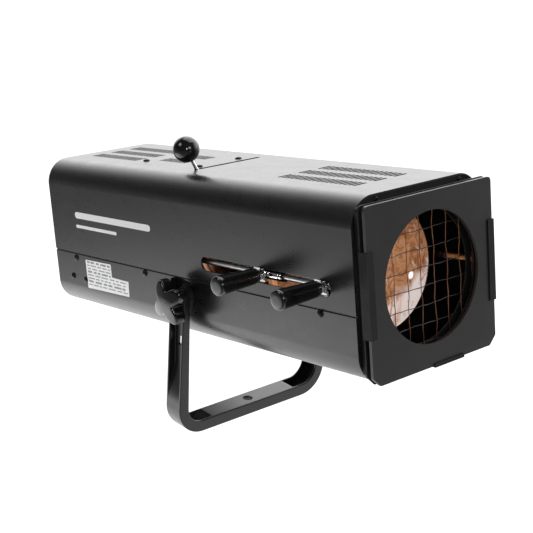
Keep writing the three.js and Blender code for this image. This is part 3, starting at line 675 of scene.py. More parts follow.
def vent_strip(x0, x1, y, pitch=7.0, length=20.0):
    """Cutters of a strip of narrow crosswise slots in the roof."""
    cutters = []
    for i in range(round((x1 - x0) / pitch)):
        x = x0 + (i + 0.2) * pitch
        outline = stadium(x, x + 0.64 * pitch, y - length / 2, y + length / 2, 4)
        cutters.append(prism(outline, HALF_HEIGHT - 6, HALF_HEIGHT + 3, "z"))
    return cutters


SIDE_SLOT = (-254, -35, -8.5, 8.5)
LEVER_SLOT_HALF = 3.2
LEVER_REACH = 51
# Strips of vents in the roof: back end, front end and place across.
VENT_ROWS = [(x0, x1, y) for y in (-30.5, 0, 30.5) for x0, x1 in ((-175, -49), (-560, -455))]
VENT_ROWS += [(-425, -366, y) for y in (-15, 17)]


def make_cover():
    """Upper sheet with the handles' slot in its side and the lever's slot and vents in its roof."""
    outside, inside = [
        [(HALF_WIDTH - inset, SEAM_TOP), *house_outline(inset, (0, 90)), (inset - HALF_WIDTH, SEAM_TOP)]
        for inset in (0, WALL)
    ]
    sheet = prism(outside + inside[::-1], BACK, 0)
    side_slot = prism(stadium(*SIDE_SLOT), -HALF_WIDTH - 5, -HALF_WIDTH + 10, "y")
    lever_x = middle("iris_knob").x
    lever_outline = stadium(lever_x - LEVER_SLOT_HALF, lever_x + LEVER_SLOT_HALF, -LEVER_REACH, LEVER_REACH)
    lever_slot = prism(lever_outline, HALF_HEIGHT - 10, HALF_HEIGHT + 5, "z")
    vents = [slot for row in VENT_ROWS for slot in vent_strip(*row)]
    # The sheet thins from below round the roof's slots, as pressed louvres do, so they read dark.
    under, left_over = HALF_HEIGHT - 3, HALF_HEIGHT - 0.6
    reliefs = [block(x0 - 3, x1 + 3, y - 13, y + 13, under, left_over) for x0, x1, y in VENT_ROWS]
    reliefs.append(block(lever_x - 9, lever_x + 9, -LEVER_REACH - 5, LEVER_REACH + 5, under, left_over))
    shape = carved(sheet, joined(side_slot, lever_slot, *vents), joined(*reliefs))
    piece("cover_shell", shape, ["cover"], bevel=0.35)


def make_tray():
    """Lower sheet, its top edge joggled in behind the cover, with a lap strip inside each seam."""
    step, inner = HALF_WIDTH - 1.3, HALF_WIDTH - WALL
    joggle = [(HALF_WIDTH, SEAM_LOW - 1.9), (step, SEAM_LOW - 1.4), (step, SEAM_LOW)]
    outside = [(-u, v) for u, v in reversed(joggle)] + house_outline(0, (180, 270)) + joggle
    inside = [(-inner, SEAM_LOW)] + house_outline(WALL, (180, 270)) + [(inner, SEAM_LOW)]
    sheet = prism(outside + inside[::-1], limits("tray")[0].x, 0)
    pivot = middle("pivot_bolt_operator")
    holes = [prism(circle(pivot.x, pivot.z, 5, 32), side * 85, side * 105, "y") for side in (-1, 1)]
    sheet = carved(sheet, *holes)
    lap = [(0.5, -12), (0.5, -2), (-0.3, -0.6), (-0.3, 10), (-1.8, 10), (-1.8, -12)]
    strip = prism([(inner + u, SEAM_LOW + v) for u, v in lap], BACK + 11.8, -6)
    piece("tray_shell", joined(sheet, mirrored(strip), strip), ["tray"], bevel=0.35)


def make_bulkheads():
    """Front panel, gate plate and lamp bulkhead; the first two hold the guide rods' ends."""
    opening_radii = {"front_panel": 74, "gate_plate": 36, "lamp_bulkhead": 66}
    rod_hole_radius = 4.3
    for node, radius in opening_radii.items():
        low, high = limits(node)
        holes = [circle(0, 0, radius, 128)]
        if node != "lamp_bulkhead":
            holes += [circle(side * 85, 0, rod_hole_radius, 32) for side in (-1, 1)]
        outline = house_outline(WALL + 0.3) if node == "front_panel" else house_outline(4.2)
        piece(f"{node}_sheet", pierced(outline, holes, low.x, high.x), [node], bevel=0.3)


def make_shade_liner():
    """Near-black matt sheet inside the front of the lamp house, on the far wall and the floor: painted shade where
    the inside is seen.
    """
    outer, inner = WALL + 1.7, WALL + 2.2
    outline = [(HALF_WIDTH - outer, 52)] + house_arc(outer, 0, -90) + [(-55, outer - HALF_HEIGHT)]
    outline += [(-55, inner - HALF_HEIGHT)] + house_arc(inner, -90, 0) + [(HALF_WIDTH - inner, 52)]
    piece("shade_liner_sheet", prism(outline, -175, -20), body="lamp_house", slot="panel_black", look="liner_black")


def make_colour_frame():
    """Two square sheets with rounded top corners, chamfered bottom corners and a round hole."""
    low, high = limits("color_frame_front")
    a, top, bottom = high.y, high.z, low.z
    chamfer, corner, hole_radius = 10, 5, 71
    outline = (
        [(-a + chamfer, bottom), (a - chamfer, bottom), (a, bottom + chamfer)]
        + arc(a - corner, top - corner, corner, 0, 90, 8)
        + arc(-a + corner, top - corner, corner, 90, 180, 8)
        + [(-a, bottom + chamfer)]
    )
    hole = circle(-0.7, 0.7, hole_radius, 160)
    for node in ("color_frame_back", "color_frame_front"):
        low, high = limits(node)
        sheet = pierced(eased(outline, 1.2), [hole], low.x, high.x)
        piece(f"{node}_sheet", sheet, [node], bevel=0.6, segments=3)


def make_guard():
    """Crimped wires woven over and under each other."""
    low, high = limits("guard_mesh")
    pitch, centre_y, centre_z = 20.4, 15.9, -11.0
    depth = (low.x + high.x) / 2
    radius, lift = 0.45, 0.5
    wires = {True: [], False: []}
    for i in range(-3, 4):
        for upright in wires:
            path = []
            for step in range(85):
                along = low.z + 0.4 + (high.z - low.z - 0.8) * step / 84
                crossing = (along - (centre_z if upright else centre_y)) / pitch
                weave = math.cos(math.pi * (crossing + i)) * (1 if upright else -1)
                wobble = 0.5 * math.sin(0.09 * along + 1.7 * i) + 0.22 * math.sin(0.31 * along + 2.9 * i)
                x = depth + lift * weave
                if upright:
                    path.append((x, centre_y + i * pitch + wobble, along))
                else:
                    path.append((x, along, centre_z + i * pitch + wobble))
            wires[upright].append(swept(path, radius, 10))
    piece("guard_wires_upright", joined(*wires[True]), ["guard_mesh"], angle=60)
    # The level wires take a darker copy of the upright wires' look: painted shade.
    piece("guard_wires_level", joined(*wires[False]), ["guard_mesh"], look="guard_level", angle=60)


def make_rods():
    """Guide rods of the lens carriages."""
    for label in ("operator", "far"):
        node = f"guide_rod_{label}"
        low, high = limits(node)
        centre = middle(node)
        # The far rod carries a painted warm reflection of the copper-lit inside.
        look = "rod_warm" if label == "far" else ""
        rod = shifted(bar(low.x, high.x, 4, 0.6, 40), 0, centre.y, centre.z)
        piece(f"{node}_bar", rod, [node], look=look)


def make_lens(label):
    """Plano-convex lens in its spun ring."""
    low, high = limits(f"{label}_lens")
    radius = high.z
    edge = low.x + 3.5
    bulge = high.x - edge
    steps = 28
    face = [(edge + bulge * (1 - (i / steps) ** 2), radius * i / steps) for i in range(steps + 1)]
    profile = face + [(low.x, radius), (low.x, 0)]
    piece(f"{label}_lens_glass", turned(profile, 128), [f"{label}_lens"], angle=30)

    low, high = limits(f"{label}_lens_ring")
    inner, outer = radius + 0.3, high.z
    lip = low.x + 4.9
    rim = [(low.x, inner), (low.x, outer), (lip + 1.2, outer), (lip + 1.2, 70.5), (lip, 70.5), (lip, inner)]
    # The focus lens's rim is dark copper as painted shade.
    look = "copper_shade" if label == "focus" else "copper_tone"
    piece(f"{label}_lens_rim", turned(eased(rim, 0.5), 128, True), [f"{label}_lens_ring"], look=look)


def make_bushes(label):
    """Plated sliding bushes, each with a black wiper ring let in at its front end."""
    for side in ("operator", "far"):
        node = f"{label}_bush_{side}"
        low, high = limits(node)
        centre = middle(node)
        outer = high.z - centre.z
        a, b = low.x, high.x
        shape = [
            (a, 4.15), (a, outer - 0.6), (a + 1, outer), (a + 6, outer), (a + 6.4, outer - 0.9),
            (a + 8.4, outer - 0.9), (a + 8.8, outer), (b - 8, outer), (b - 7.6, outer - 0.9),
            (b - 6.2, outer - 0.9), (b - 5.8, outer), (b - 2.8, outer), (b - 2.6, 5.0), (b - 2.6, 4.15),
        ]
        # The far bushes are dark copper as painted shade.
        look = "copper_shade" if side == "far" else ""
        sleeve = turned(eased(shape, 0.25), 48, True)
        piece(f"{node}_sleeve", shifted(sleeve, 0, centre.y, centre.z), [node], look=look)
        lip = [(b - 2.5, 4.2), (b - 2.5, outer - 0.2), (b, outer - 0.5), (b, 4.2)]
        wiper = turned(eased(lip, 0.3), 48, True)
        piece(f"{node}_wiper", shifted(wiper, 0, centre.y, centre.z), body=BODY_OF[node], slot="knob_plastic")


def threaded(low, high, radius, pitch, depth, segments=36):
    """Rod along x with ridges like a thread's."""
    profile = [(low, 0), (low, radius - depth)]
    x = low
    while x + pitch < high:
        profile += [(x + 0.3 * pitch, radius), (x + 0.5 * pitch, radius), (x + 0.9 * pitch, radius - depth)]
        x += pitch
    profile += [(high, radius - depth), (high, 0)]
    return turned(profile, segments)


def make_handle(label):
    """Stud through the slot and the tapered grip screwed on it."""
    node = f"{label}_handle_stud"
    low, high = limits(node)
    centre = middle(node)
    stud = moved(threaded(low.y, high.y, 3, 1.0, 0.35), ALONG_Y)
    piece(f"{node}_thread", shifted(stud, centre.x, 0, centre.z), [node], angle=20)
    nut_corner, nut_turn, nut_outer, nut_inner = 6.4, 12, -98.2, -94.4
    hexagon = arc(centre.x, centre.z, nut_corner, nut_turn, nut_turn + 360, 6)[:-1]
    nut = prism(hexagon, nut_outer, nut_inner, "y")
    bore = prism(circle(centre.x, centre.z, 3.1, 24), nut_outer - 2, nut_inner + 2, "y")
    piece(f"{label}_handle_nut", carved(nut, bore), body=BODY_OF[node], slot="chrome", bevel=0.6)

    node = f"{label}_handle_grip"
    low, high = limits(node)
    tip = low.y
    base = tip + 57
    profile = [
        (tip, 0), (tip + 0.1, 5), (tip + 0.3, 8.2), (tip + 0.8, 9.6), (tip + 1.7, 10.6), (tip + 3.2, 11),
        (tip + 6, 10.95), (base - 22, 9.7), (base - 6, 9.0), (base - 4.6, 8.8), (base - 4.2, 8.2),
        (base - 3.2, 8.2), (base - 2.8, 8.7), (base - 1.2, 8.4), (base - 0.1, 7.2), (base, 3.3),
        (base - 12, 3.3), (base - 12, 0),
    ]
    grip = moved(turned(eased(profile, 0.4, False, 4), 72), ALONG_Y)
    piece(f"{label}_grip_body", shifted(grip, centre.x, 0, centre.z), [node], angle=40)


def lobe_phase(node, x, z):
    """Angle of the lobe that reaches farthest from the knob's axis."""
    back = OPTICS.inverted()
    points = [back @ v.co for v in frame["nodes"][node].data.vertices]
    farthest = max(points, key=lambda p: (p.x - x) ** 2 + (p.z - z) ** 2)
    return math.atan2(farthest.z - z, farthest.x - x)


KNOB_SEGMENTS = 192


def lobed_rim(notch, tip, segments):
    """Outline with four lobes between two radii, and the unit vector inwards at each of its points."""
    rim = []
    for k in range(segments):
        a = 2 * math.pi * k / segments
        radius = notch + (tip - notch) * (0.5 + 0.5 * math.cos(4 * a)) ** 0.85
        rim.append(Vector((radius * math.cos(a), radius * math.sin(a))))
    inward = []
    for k in range(segments):
        along = (rim[(k + 1) % segments] - rim[k - 1]).normalized()
        inward.append(Vector((-along.y, along.x)))
    return rim, inward


def make_star_knob(label, side):
    """Four deep lobes with soft edges, a raised cap and a hub behind."""
    node = f"pivot_knob_{label}"
    bolt = middle(f"pivot_bolt_{label}")
    phase = lobe_phase(node, bolt.x, bolt.z)
    tip = 28.7
    low, high = limits(node)
    face = max(abs(low.y), abs(high.y))
    back = face - 18
    rim, inward = lobed_rim(14.6, tip, KNOB_SEGMENTS)
    fillet, dome = 2.6, 5.2
    points = []
    turn = Matrix.Rotation(phase, 2)

    def add_ring(flat, height, drop=0):
        """Points at one height, or with no height at a drop below the face's dome."""
        for p in flat:
            y = face - dome * (p.length / tip) ** 2 - drop if height is None else height
            spun = turn @ p
            points.append((spun.x, y, spun.y))

    def inset(offset):
        return [p + toward * offset for p, toward in zip(rim, inward)]

    for offset, rise in ((2.2, 0), (1.0, 0.4), (0.2, 1.6), (0, 3)):
        add_ring(inset(offset), back + rise)
    for step in range(7):
        a = math.radians(15 * step)
        add_ring(inset(fillet * (1 - math.cos(a))), None, fillet * (1 - math.sin(a)))
    inner = inset(fillet)
    for share in (0.9, 0.75, 0.55, 0.35, 0.15):
        add_ring([p * share for p in inner], None)
    last = len(points) - KNOB_SEGMENTS
    faces = walls_between(len(points) // KNOB_SEGMENTS, KNOB_SEGMENTS) + [tuple(range(KNOB_SEGMENTS))]
    points.append((0, face, 0))
    faces += [(last + k, last + (k + 1) % KNOB_SEGMENTS, len(points) - 1) for k in range(KNOB_SEGMENTS)]
    hub = [(back - 6.2, 4.4), (back - 6.2, 8.6), (back - 2, 9), (back + 2, 10), (back + 2, 4.4)]
    shape = joined((points, faces), moved(turned(eased(hub, 0.5), 48, True), ALONG_Y))
    if side < 0:
        shape = mirrored(shape)
    piece(f"star_knob_{label}", shifted(shape, bolt.x, 0, bolt.z), [node], angle=50)


def make_pivot(label, side):
    """Bolt, spacer, washer and knob on one side of the yoke."""
    bolt = middle(f"pivot_bolt_{label}")

    def placed(shape):
        shape = moved(shape, ALONG_Y)
        if side < 0:
            shape = mirrored(shape)
        return shifted(shape, bolt.x, 0, bolt.z)

    def reach(node):
        low, high = limits(node)
        return sorted((abs(low.y), abs(high.y)))

    bolt_node = f"pivot_bolt_{label}"
    piece(f"{bolt_node}_thread", placed(threaded(*reach(bolt_node), 4, 1.25, 0.45)), [bolt_node], angle=20)
    for kind, inner, outer, ease in (("spacer", 5.2, 13, 0.6), ("washer", 4.4, 9.5, 0.3)):
        node = f"pivot_{kind}_{label}"
        piece(f"{node}_disc", placed(ring(*reach(node), inner, outer, ease)), [node])
    make_star_knob(label, side)


def make_iris():
    """Copper-toned rings, the chrome lever and its ball."""
    base_low, base_high = limits("iris_base")
    piece("iris_base_ring", ring(base_low.x, base_high.x, 36, 66, 0.4, 128), ["iris_base"])
    low, high = limits("iris_cover_ring")
    shoulder = high.x - 0.7
    disc = [(low.x, 38), (low.x, 58), (shoulder, 58), (high.x, 56), (high.x, 40), (shoulder, 38)]
    piece("iris_cover_disc", turned(eased(disc, 0.3), 128, True), ["iris_cover_ring"])

    ball = middle("iris_knob")
    lean = math.atan2(-ball.y, ball.z)
    upright = Matrix.Translation((ball.x, 0, 0)) @ Matrix.Rotation(lean, 4, "X")
    tip_toward = upright @ ALONG_Z
    low, high = limits("iris_cam_ring")
    lug = moved(block(-1.1, 1.1, -6, 6, 56, 66), upright)
    piece("iris_cam_disc", joined(ring(low.x, high.x, 40, 60, 0.3, 128), lug), ["iris_cam_ring"])

    length = math.hypot(ball.y, ball.z)
    start, end = 66.3, length - 6.4
    rod = [(start, 0), (start, 2.3), (length - 27, 2.3), (length - 26.6, 2.1), (end, 2.1), (end, 0)]
    piece("iris_lever_rod", moved(turned(eased(rod, 0.15, False), 32), tip_toward), ["iris_lever"])
    steps = 40
    radius = 16.0
    ball_profile = []
    for i in range(steps + 1):
        angle = math.pi * i / steps
        along, out = length - radius * math.cos(angle), radius * math.sin(angle)
        if along > length - radius + 1.1:
            ball_profile.append((along, out))
    mouth = [(length - 6, 0), (length - 6, 2.6), (length - radius + 0.7, 2.6), (length - radius + 0.7, 4.8)]
    profile = mouth + ball_profile[:-1] + [(length + radius, 0)]
    piece("iris_ball", moved(turned(profile, 96), tip_toward), ["iris_knob"], angle=40)


def make_lamp():
    """Ellipsoidal reflector, halogen bulb with its filament, and the socket."""
    steps = 26
    centre_x, long, wide, thick = -345, 100, 70, 2
    angles = [math.radians(14 + 66 * i / steps) for i in range(steps + 1)]
    inside = [(centre_x - long * math.cos(a), wide * math.sin(a)) for a in angles]
    outside = [(centre_x - (long + thick) * math.cos(a), (wide + thick) * math.sin(a)) for a in angles]
    rim_x, rim_r = inside[-1]
    loop = inside + [(rim_x + 2, rim_r), (rim_x + 2, 75), (rim_x, 75)] + outside[::-1]
    piece("reflector_bowl", turned(loop, 96, True), ["reflector"])

    low, high = limits("lamp_bulb")
    base, tip = low.x, high.x
    bulb = [(base, 0), (base, 6), (base + 7, 7.5), (tip - 10, 7.5), (tip - 4, 5.5), (tip - 0.5, 2), (tip, 0)]
    piece("lamp_bulb_glass", turned(eased(bulb, 2, False), 48), ["lamp_bulb"])
    coil = []
    for i in range(160):
        a = 2 * math.pi * i / 16
        coil.append((low.x + 17 + 16 * i / 160, 1.6 * math.cos(a), 1.6 * math.sin(a)))
    legs = [swept([(low.x + 1, side * 1.6, 0), (low.x + 17, side * 1.6, 0)], 0.35, 8) for side in (-1, 1)]
    piece("lamp_filament", joined(swept(coil, 0.25, 6), *legs), body="lamp_house", slot="rod_steel", angle=60)
    low, high = limits("lamp_socket")
    socket = [(low.x, 0), (low.x, 19), (high.x - 24.4, 19), (high.x - 22.4, 12), (high.x, 12), (high.x, 0)]
    piece("lamp_socket_body", turned(eased(socket, 0.8, False), 64), ["lamp_socket"])


def pan_screw(radius=4.3, height=2.4):
    """Domed screw head along +z with a cross recess."""
    steps = 10
    dome = [(0, 0), (0, radius)]
    dome += [(height * math.sin(math.pi / 2 * i / steps), radius * math.cos(math.pi / 2 * i / steps) ** 0.7)
             for i in range(1, steps)]
    dome += [(height, 0)]
    head = moved(turned(dome, 32), ALONG_Z)
    arm, half = 0.42 * radius, 0.4
    cross = [block(-u, u, -v, v, height - 1.1, height + 1) for u, v in ((arm, half), (half, arm))]
    return carved(head, *cross)


FACING = {
    "-y": Matrix.Rotation(math.radians(90), 4, "X"),
    "+y": Matrix.Rotation(math.radians(-90), 4, "X"),
    "+z": Matrix.Identity(4),
    "+x": Matrix.Rotation(math.radians(90), 4, "Y"),
    "-x": Matrix.Rotation(math.radians(-90), 4, "Y"),
}


def set_screws(name, places, facing, head=None):
    """One piece holding a row of screw heads, each turned its own way."""
    head = head or pan_screw()
    heads = []
    for place in places:
        turn = Matrix.Rotation(random.uniform(0, math.pi), 4, "Z")
        heads.append(moved(head, Matrix.Translation(place) @ FACING[facing] @ turn))
    piece(name, joined(*heads), body="lamp_house", slot="knob_plastic", look="screw_black", angle=35)


def make_screws():
    """Screws seen in the sides, the roof and the front panel."""
    side_places = [(-532.7, -29.1), (-545.4, -55.7), (-513.8, -56.8), (-372.4, -28.3), (-53.4, -27.7)]
    set_screws("side_screws_operator", [(x, -HALF_WIDTH, z) for x, z in side_places], "-y")
    far_places = [side_places[0]] + side_places[3:]
    set_screws("side_screws_far", [(x, HALF_WIDTH, z) for x, z in far_places], "+y")
    roof = [(-438.4, -33.5), (-327.6, -32.2), (-329.9, 30.7), (-438, 31)]
    set_screws("roof_screws", [(x, y, HALF_HEIGHT) for x, y in roof], "+z")
    panel_face = limits("front_panel")[1].x
    corners = [(-59.4, 91.9), (65.8, 91.9), (-90.8, 49), (-90.8, -52.2)]
    set_screws("front_panel_screws", [(panel_face, y, z) for y, z in corners], "+x", head=pan_screw(2.6, 1.5))


def make_yoke():
    """Pressed channel: web inside along the arms and the bar, crossing over round the bends."""
    half, outer_low, top = limits("yoke", YOKE_SPACE)[1]
    inner, outer_top = 104.5, 113.5
    bend_out, bend_in, sheet, bar = 37.0, 22.0, 3.0, 15.0
    centre, inside = outer_low - bend_out, inner - bend_in

    # Stations from the middle of the bar round one bend to the arm's top, as channel() takes them.
    stations = []
    for i in range(26):
        y = 56 + (centre - 56) * i / 25 if i else 0
        stations.append(((y, 0), (min(y, inside + (y - inside) * 0.98), bar), smooth_step(y, 66, centre + 2)))
    steps = 36
    for i in range(1, steps + 1):
        a = math.radians(-90 + 90 * i / steps)
        out = (centre + bend_out * math.cos(a), bend_out + bend_out * math.sin(a))
        into = (inside + bend_in * math.cos(a), bar + bend_in + bend_in * math.sin(a))
        stations.append((out, into, 1.0))
    for i in range(1, 41):
        z = bend_out + (110 - bend_out) * i / 40
        out = (outer_low + (outer_top - outer_low) * (z - bend_out) / (top - bend_out), z)
        stations.append((out, (inner, z), 1 - smooth_step(z, 46, 96)))
    stations.append(((outer_top, top), (inner, top), 0.0))
    stations = [((-o[0], o[1]), (-i[0], i[1]), s) for o, i, s in reversed(stations[1:])] + stations

    body = channel(stations, half, sheet)
    arms = prism(rounded_box(-half, half, -top, top, 3, 6), -130, 130, "y")
    body = combined(body, [arms], "INTERSECT")
    pivot_height = JOINTS["tilt"]["pos_m"][2] / MM
    cutters = [prism(circle(0, 0, 6.5, 48), -5, 30, "z")]
    bore = circle(0, pivot_height, 4.5, 40)
    spare = rounded_box(-4.5, 4.5, pivot_height - 60, pivot_height - 48, 1.5)
    for low, high in ((-130, 0), (0, 130)):
        cutters += [prism(bore, low, high, "y"), prism(spare, low, high, "y")]
    body = carved(body, *cutters)
    weigh_normals(piece("yoke_channel", body, ["yoke"], space=YOKE_SPACE, look="yoke_paint", angle=48))


def smooth_step(value, start, end):
    t = min(1, max(0, (value - start) / (end - start)))
    return t * t * (3 - 2 * t)


def channel(stations, half, sheet):
    """Two flanges joined by a web, swept along pairs of outer and inner (y, z) points.

    The third value of a station is how far the web has crossed over, 0 on the inner side and 1 on the outer.
    """
    points = []
    for out, into, share in stations:
        out, into = Vector(out), Vector(into)
        depth = (into - out).length
        unit = (into - out) / depth
        near = 0.02 + (depth - sheet - 0.04) * (1 - share)
        far = near + sheet
        lip = half - sheet
        section = [
            (-half, 0), (-lip, 0), (-lip, near), (lip, near), (lip, 0), (half, 0),
            (half, depth), (lip, depth), (lip, far), (-lip, far), (-lip, depth), (-half, depth),
        ]
        for x, reach in eased(section, 1.3, True, 3):
            points.append((x, *(out + unit * reach)))
    size = len(points) // len(stations)
    ends = [tuple(range(size)), tuple(range(len(points) - size, len(points)))]
    return points, walls_between(len(stations), size) + ends


def make_label():
    """Plain stepped rating plate: pale film with grey bars where words would be."""
    outer = [(-510.2, -29), (-449.8, -27.8), (-449.6, -45), (-411.8, -45.5), (-413.1, -65.4), (-510.5, -67.3)]
    film = prism(eased(outer, 1.2), -HALF_WIDTH - 0.15, -HALF_WIDTH + 0.05, "y")
    piece("rating_plate", film, body="lamp_house", slot="body_paint", look="label_print")
    bars = []
    for row in range(8):
        z = -31.5 - 4.3 * row
        x = -507.0
        end = -452.5 if z > -46 else -415.5
        while x < end - 3:
            length = min(random.uniform(5, 17), end - x)
            thick = 0.75 if row % 3 else 1.3
            bars.append(block(x, x + length, -HALF_WIDTH - 0.2, -HALF_WIDTH - 0.1, z - thick, z + thick))
            x += length + random.uniform(1.5, 5)
    piece("rating_plate_bars", joined(*bars), body="lamp_house", slot="body_paint", look="print_ink")


def make_stripes():
    """Two plain pale stripes on the operator's side, in place of any lettering."""
    skin = -HALF_WIDTH
    stripes = [prism(rounded_box(x0, x1, z - half, z + half, half - 0.1), skin - 0.15, skin + 0.05, "y")
               for x0, x1, z, half in ((-524, -352, 30, 4.2), (-524, -428, 15, 2.1))]
    piece("side_stripes", joined(*stripes), body="lamp_house", slot="body_paint", look="decal_white")


def make_rear():
    """Rear panel with its fan grille, fan, inlet, switch and fuse."""
    low, high = limits("rear_panel")
    fan_z = middle("fan_frame").z
    fan_screw_reach = 35.7
    inlet, switch, fuse = middle("power_inlet"), middle("switch_bezel"), middle("fuse_holder")
    holes = []
    grille_radius, grille_pitch, slit_half = 35, 9.6, 2.6
    for i in range(-3, 4):
        z = grille_pitch * i
        half = math.sqrt(grille_radius**2 - z * z)
        holes.append(stadium(-half, half, fan_z + z - slit_half, fan_z + z + slit_half))
    for centre, half_width, half_height in ((inlet, 14, 10.5), (switch, 12, 12)):
        y, z = centre.y, centre.z
        holes.append(rounded_box(y - half_width, y + half_width, z - half_height, z + half_height, 1))
    holes.append(circle(fuse.y, fuse.z, 6.8, 48))
    sheet = pierced(house_outline(WALL + 0.3), holes, low.x, high.x)
    piece("rear_panel_sheet", sheet, ["rear_panel"], bevel=0.3)

    a, b = limits("fan_frame")
    fan_outline = rounded_box(-40, 40, fan_z - 40, fan_z + 40, 5)
    screws = [(u * fan_screw_reach, fan_z + v * fan_screw_reach) for u in (-1, 1) for v in (-1, 1)]
    screw_holes = [circle(y, z, 2.2, 20) for y, z in screws]
    shell = pierced(fan_outline, [circle(0, fan_z, 38, 96)] + screw_holes, a.x, b.x)
    struts = []
    for angle in (0, 120, 240):
        turn = Matrix.Translation((0, 0, fan_z)) @ Matrix.Rotation(math.radians(angle), 4, "X")
        struts.append(moved(block(a.x + 0.1, a.x + 2.9, -2.5, 2.5, 15, 38.6), turn))
    hub = bar(a.x, a.x + 3, 17, 0.6, 48)
    piece("fan_shell", joined(shell, shifted(hub, 0, 0, fan_z), *struts), ["fan_frame"], bevel=0.4)

    a, b = limits("fan_impeller")
    wheel = bar(a.x, b.x, 18, 1.5, 64)
    blades = []
    for i in range(7):
        blades.append(moved(fan_blade(b.x - a.x - 2), Matrix.Rotation(2 * math.pi * i / 7, 4, "X")))
    rotor = joined(wheel, shifted(joined(*blades), (a.x + b.x) / 2))
    piece("fan_rotor_wheel", shifted(rotor, 0, 0, fan_z), ["fan_impeller"], bevel=0.25)

    make_services(low.x, inlet, switch, fuse)
    corners = [(u * 84, v * 72) for u in (-1, 1) for v in (-1, 1)]
    set_screws("rear_screws", [(low.x, y, z) for y, z in corners], "-x")
    set_screws("fan_screws", [(low.x, y, z) for y, z in screws], "-x", head=pan_screw(3.0, 1.6))


def fan_blade(depth):
    """Twisted blade reaching out along z, its chord across x."""
    rows, columns = 9, 7
    points, faces = [], []
    for skin in (0.5, -0.5):
        for i in range(rows):
            r = 15 + 21 * i / (rows - 1)
            pitch = math.radians(52 - 16 * i / (rows - 1))
            chord = 9.5 + 0.14 * (r - 15)
            for j in range(columns):
                t = j / (columns - 1) - 0.5
                camber = 1.6 * (0.25 - t * t)
                x = chord * t * math.sin(pitch) * 1.1 + (camber + skin) * math.cos(pitch)
                x = max(-depth / 2, min(depth / 2, x))
                points.append((x, chord * t * math.cos(pitch) * 1.4 - (camber + skin) * math.sin(pitch), r))
    size = rows * columns
    for i in range(rows - 1):
        for j in range(columns - 1):
            a = i * columns + j
            b, c, d = a + 1, a + columns + 1, a + columns
            faces += [(a, b, c, d), (size + d, size + c, size + b, size + a)]
    edge = [j for j in range(columns)] + [i * columns + columns - 1 for i in range(1, rows)]
    edge += [(rows - 1) * columns + j for j in range(columns - 2, -1, -1)]
    edge += [i * columns for i in range(rows - 2, 0, -1)]
    for a, b in zip(edge, edge[1:] + edge[:1]):
        faces.append((a, b, size + b, size + a))
    return points, faces


def make_services(face, inlet, switch, fuse):
    """Mains inlet with three pins, rocker switch and fuse carrier."""
    def around(at, half_y, half_z, radius):
        return rounded_box(at.y - half_y, at.y + half_y, at.z - half_z, at.z + half_z, radius)

    def housing(flange, barrel, mouth, lip, depth, back):
        """Flange and closed barrel round a mouth."""
        return joined(
            pierced(flange, [mouth], face - lip, face - 0.3),
            pierced(barrel, [mouth], face - 0.9, face + depth),
            prism(barrel, face + depth, face + back),
        )

    mouth = [(-12, -8.2), (12, -8.2), (12, 3.5), (7.5, 8.2), (-7.5, 8.2), (-12, 3.5)]
    mouth = eased([(inlet.y + y, inlet.z + z) for y, z in mouth], 1)
    socket = housing(around(inlet, 24, 14, 5), around(inlet, 13.5, 10, 2), mouth, 2.4, 16, 20)
    piece("power_inlet_body", socket, ["power_inlet"], bevel=0.3)
    pins = [shifted(block(face + 1.5, face + 16.2, y - 1, y + 1, z - 2, z + 2), 0, inlet.y, inlet.z)
            for y, z in ((-7, -1.5), (0, 2), (7, -1.5))]
    piece("power_inlet_pins", joined(*pins), body="lamp_house", slot="zinc_plate", bevel=0.4)

    cavity = around(switch, 9.6, 9.9, 0.6)
    bezel = housing(around(switch, 14, 14, 3), around(switch, 11.6, 11.6, 1), cavity, 2, 13, 16)
    piece("switch_bezel_body", bezel, ["switch_bezel"], bevel=0.35)
    hinge = Matrix.Translation((face + 3.2, switch.y, switch.z)) @ Matrix.Rotation(math.radians(7), 4, "Y")
    half_rocker = [(3, 6.5), (-5.1, 8.6), (-5.4, 8.0), (-4.9, 4.5), (-4.2, 1.5)]
    rocker = half_rocker + [(-3.9, 0)] + [(u, -v) for u, v in reversed(half_rocker)]
    piece("switch_rocker_cap", moved(prism(rocker, -9.2, 9.2, "y"), hinge), ["switch_rocker"], bevel=0.5)

    collar = [(face - 1.5, 5.6), (face - 1.5, 8.4), (face - 0.9, 9), (face - 0.3, 9), (face - 0.3, 6.5),
              (face + 18, 6.5), (face + 18, 0), (face + 14, 0), (face + 14, 5.6)]
    shape = turned(eased(collar, 0.25, False) + [(face - 1.5, 5.6)], 48)
    piece("fuse_holder_body", shifted(shape, 0, fuse.y, fuse.z), ["fuse_holder"])
    cap = [(face - 2.7, 0), (face - 2.7, 4.8), (face - 2, 5.3), (face + 10, 5.3), (face + 10, 0)]
    groove = block(face - 4, face - 1.6, -0.6, 0.6, -4, 4)
    cap = carved(turned(eased(cap, 0.3, False), 48), groove)
    piece("fuse_cap_body", shifted(cap, 0, fuse.y, fuse.z), ["fuse_cap"])


def dress_frame_nodes():
    """Looks and softened edges for the CAD nodes that stay in view."""
    widths = dict.fromkeys(("frame_holder", "focus_carriage_plate", "zoom_carriage_plate"), 0.3)
    for node, made in frame["nodes"].items():
        if made.hide_render:
            continue
        made.data.materials.clear()
        made.data.materials.append(LOOKS[SLOT_OF[node]])
        soften(made, 0.4 if node == "lamp_bracket" else widths.get(node, 0.12))


# ------------------------------------------------------------------ studio


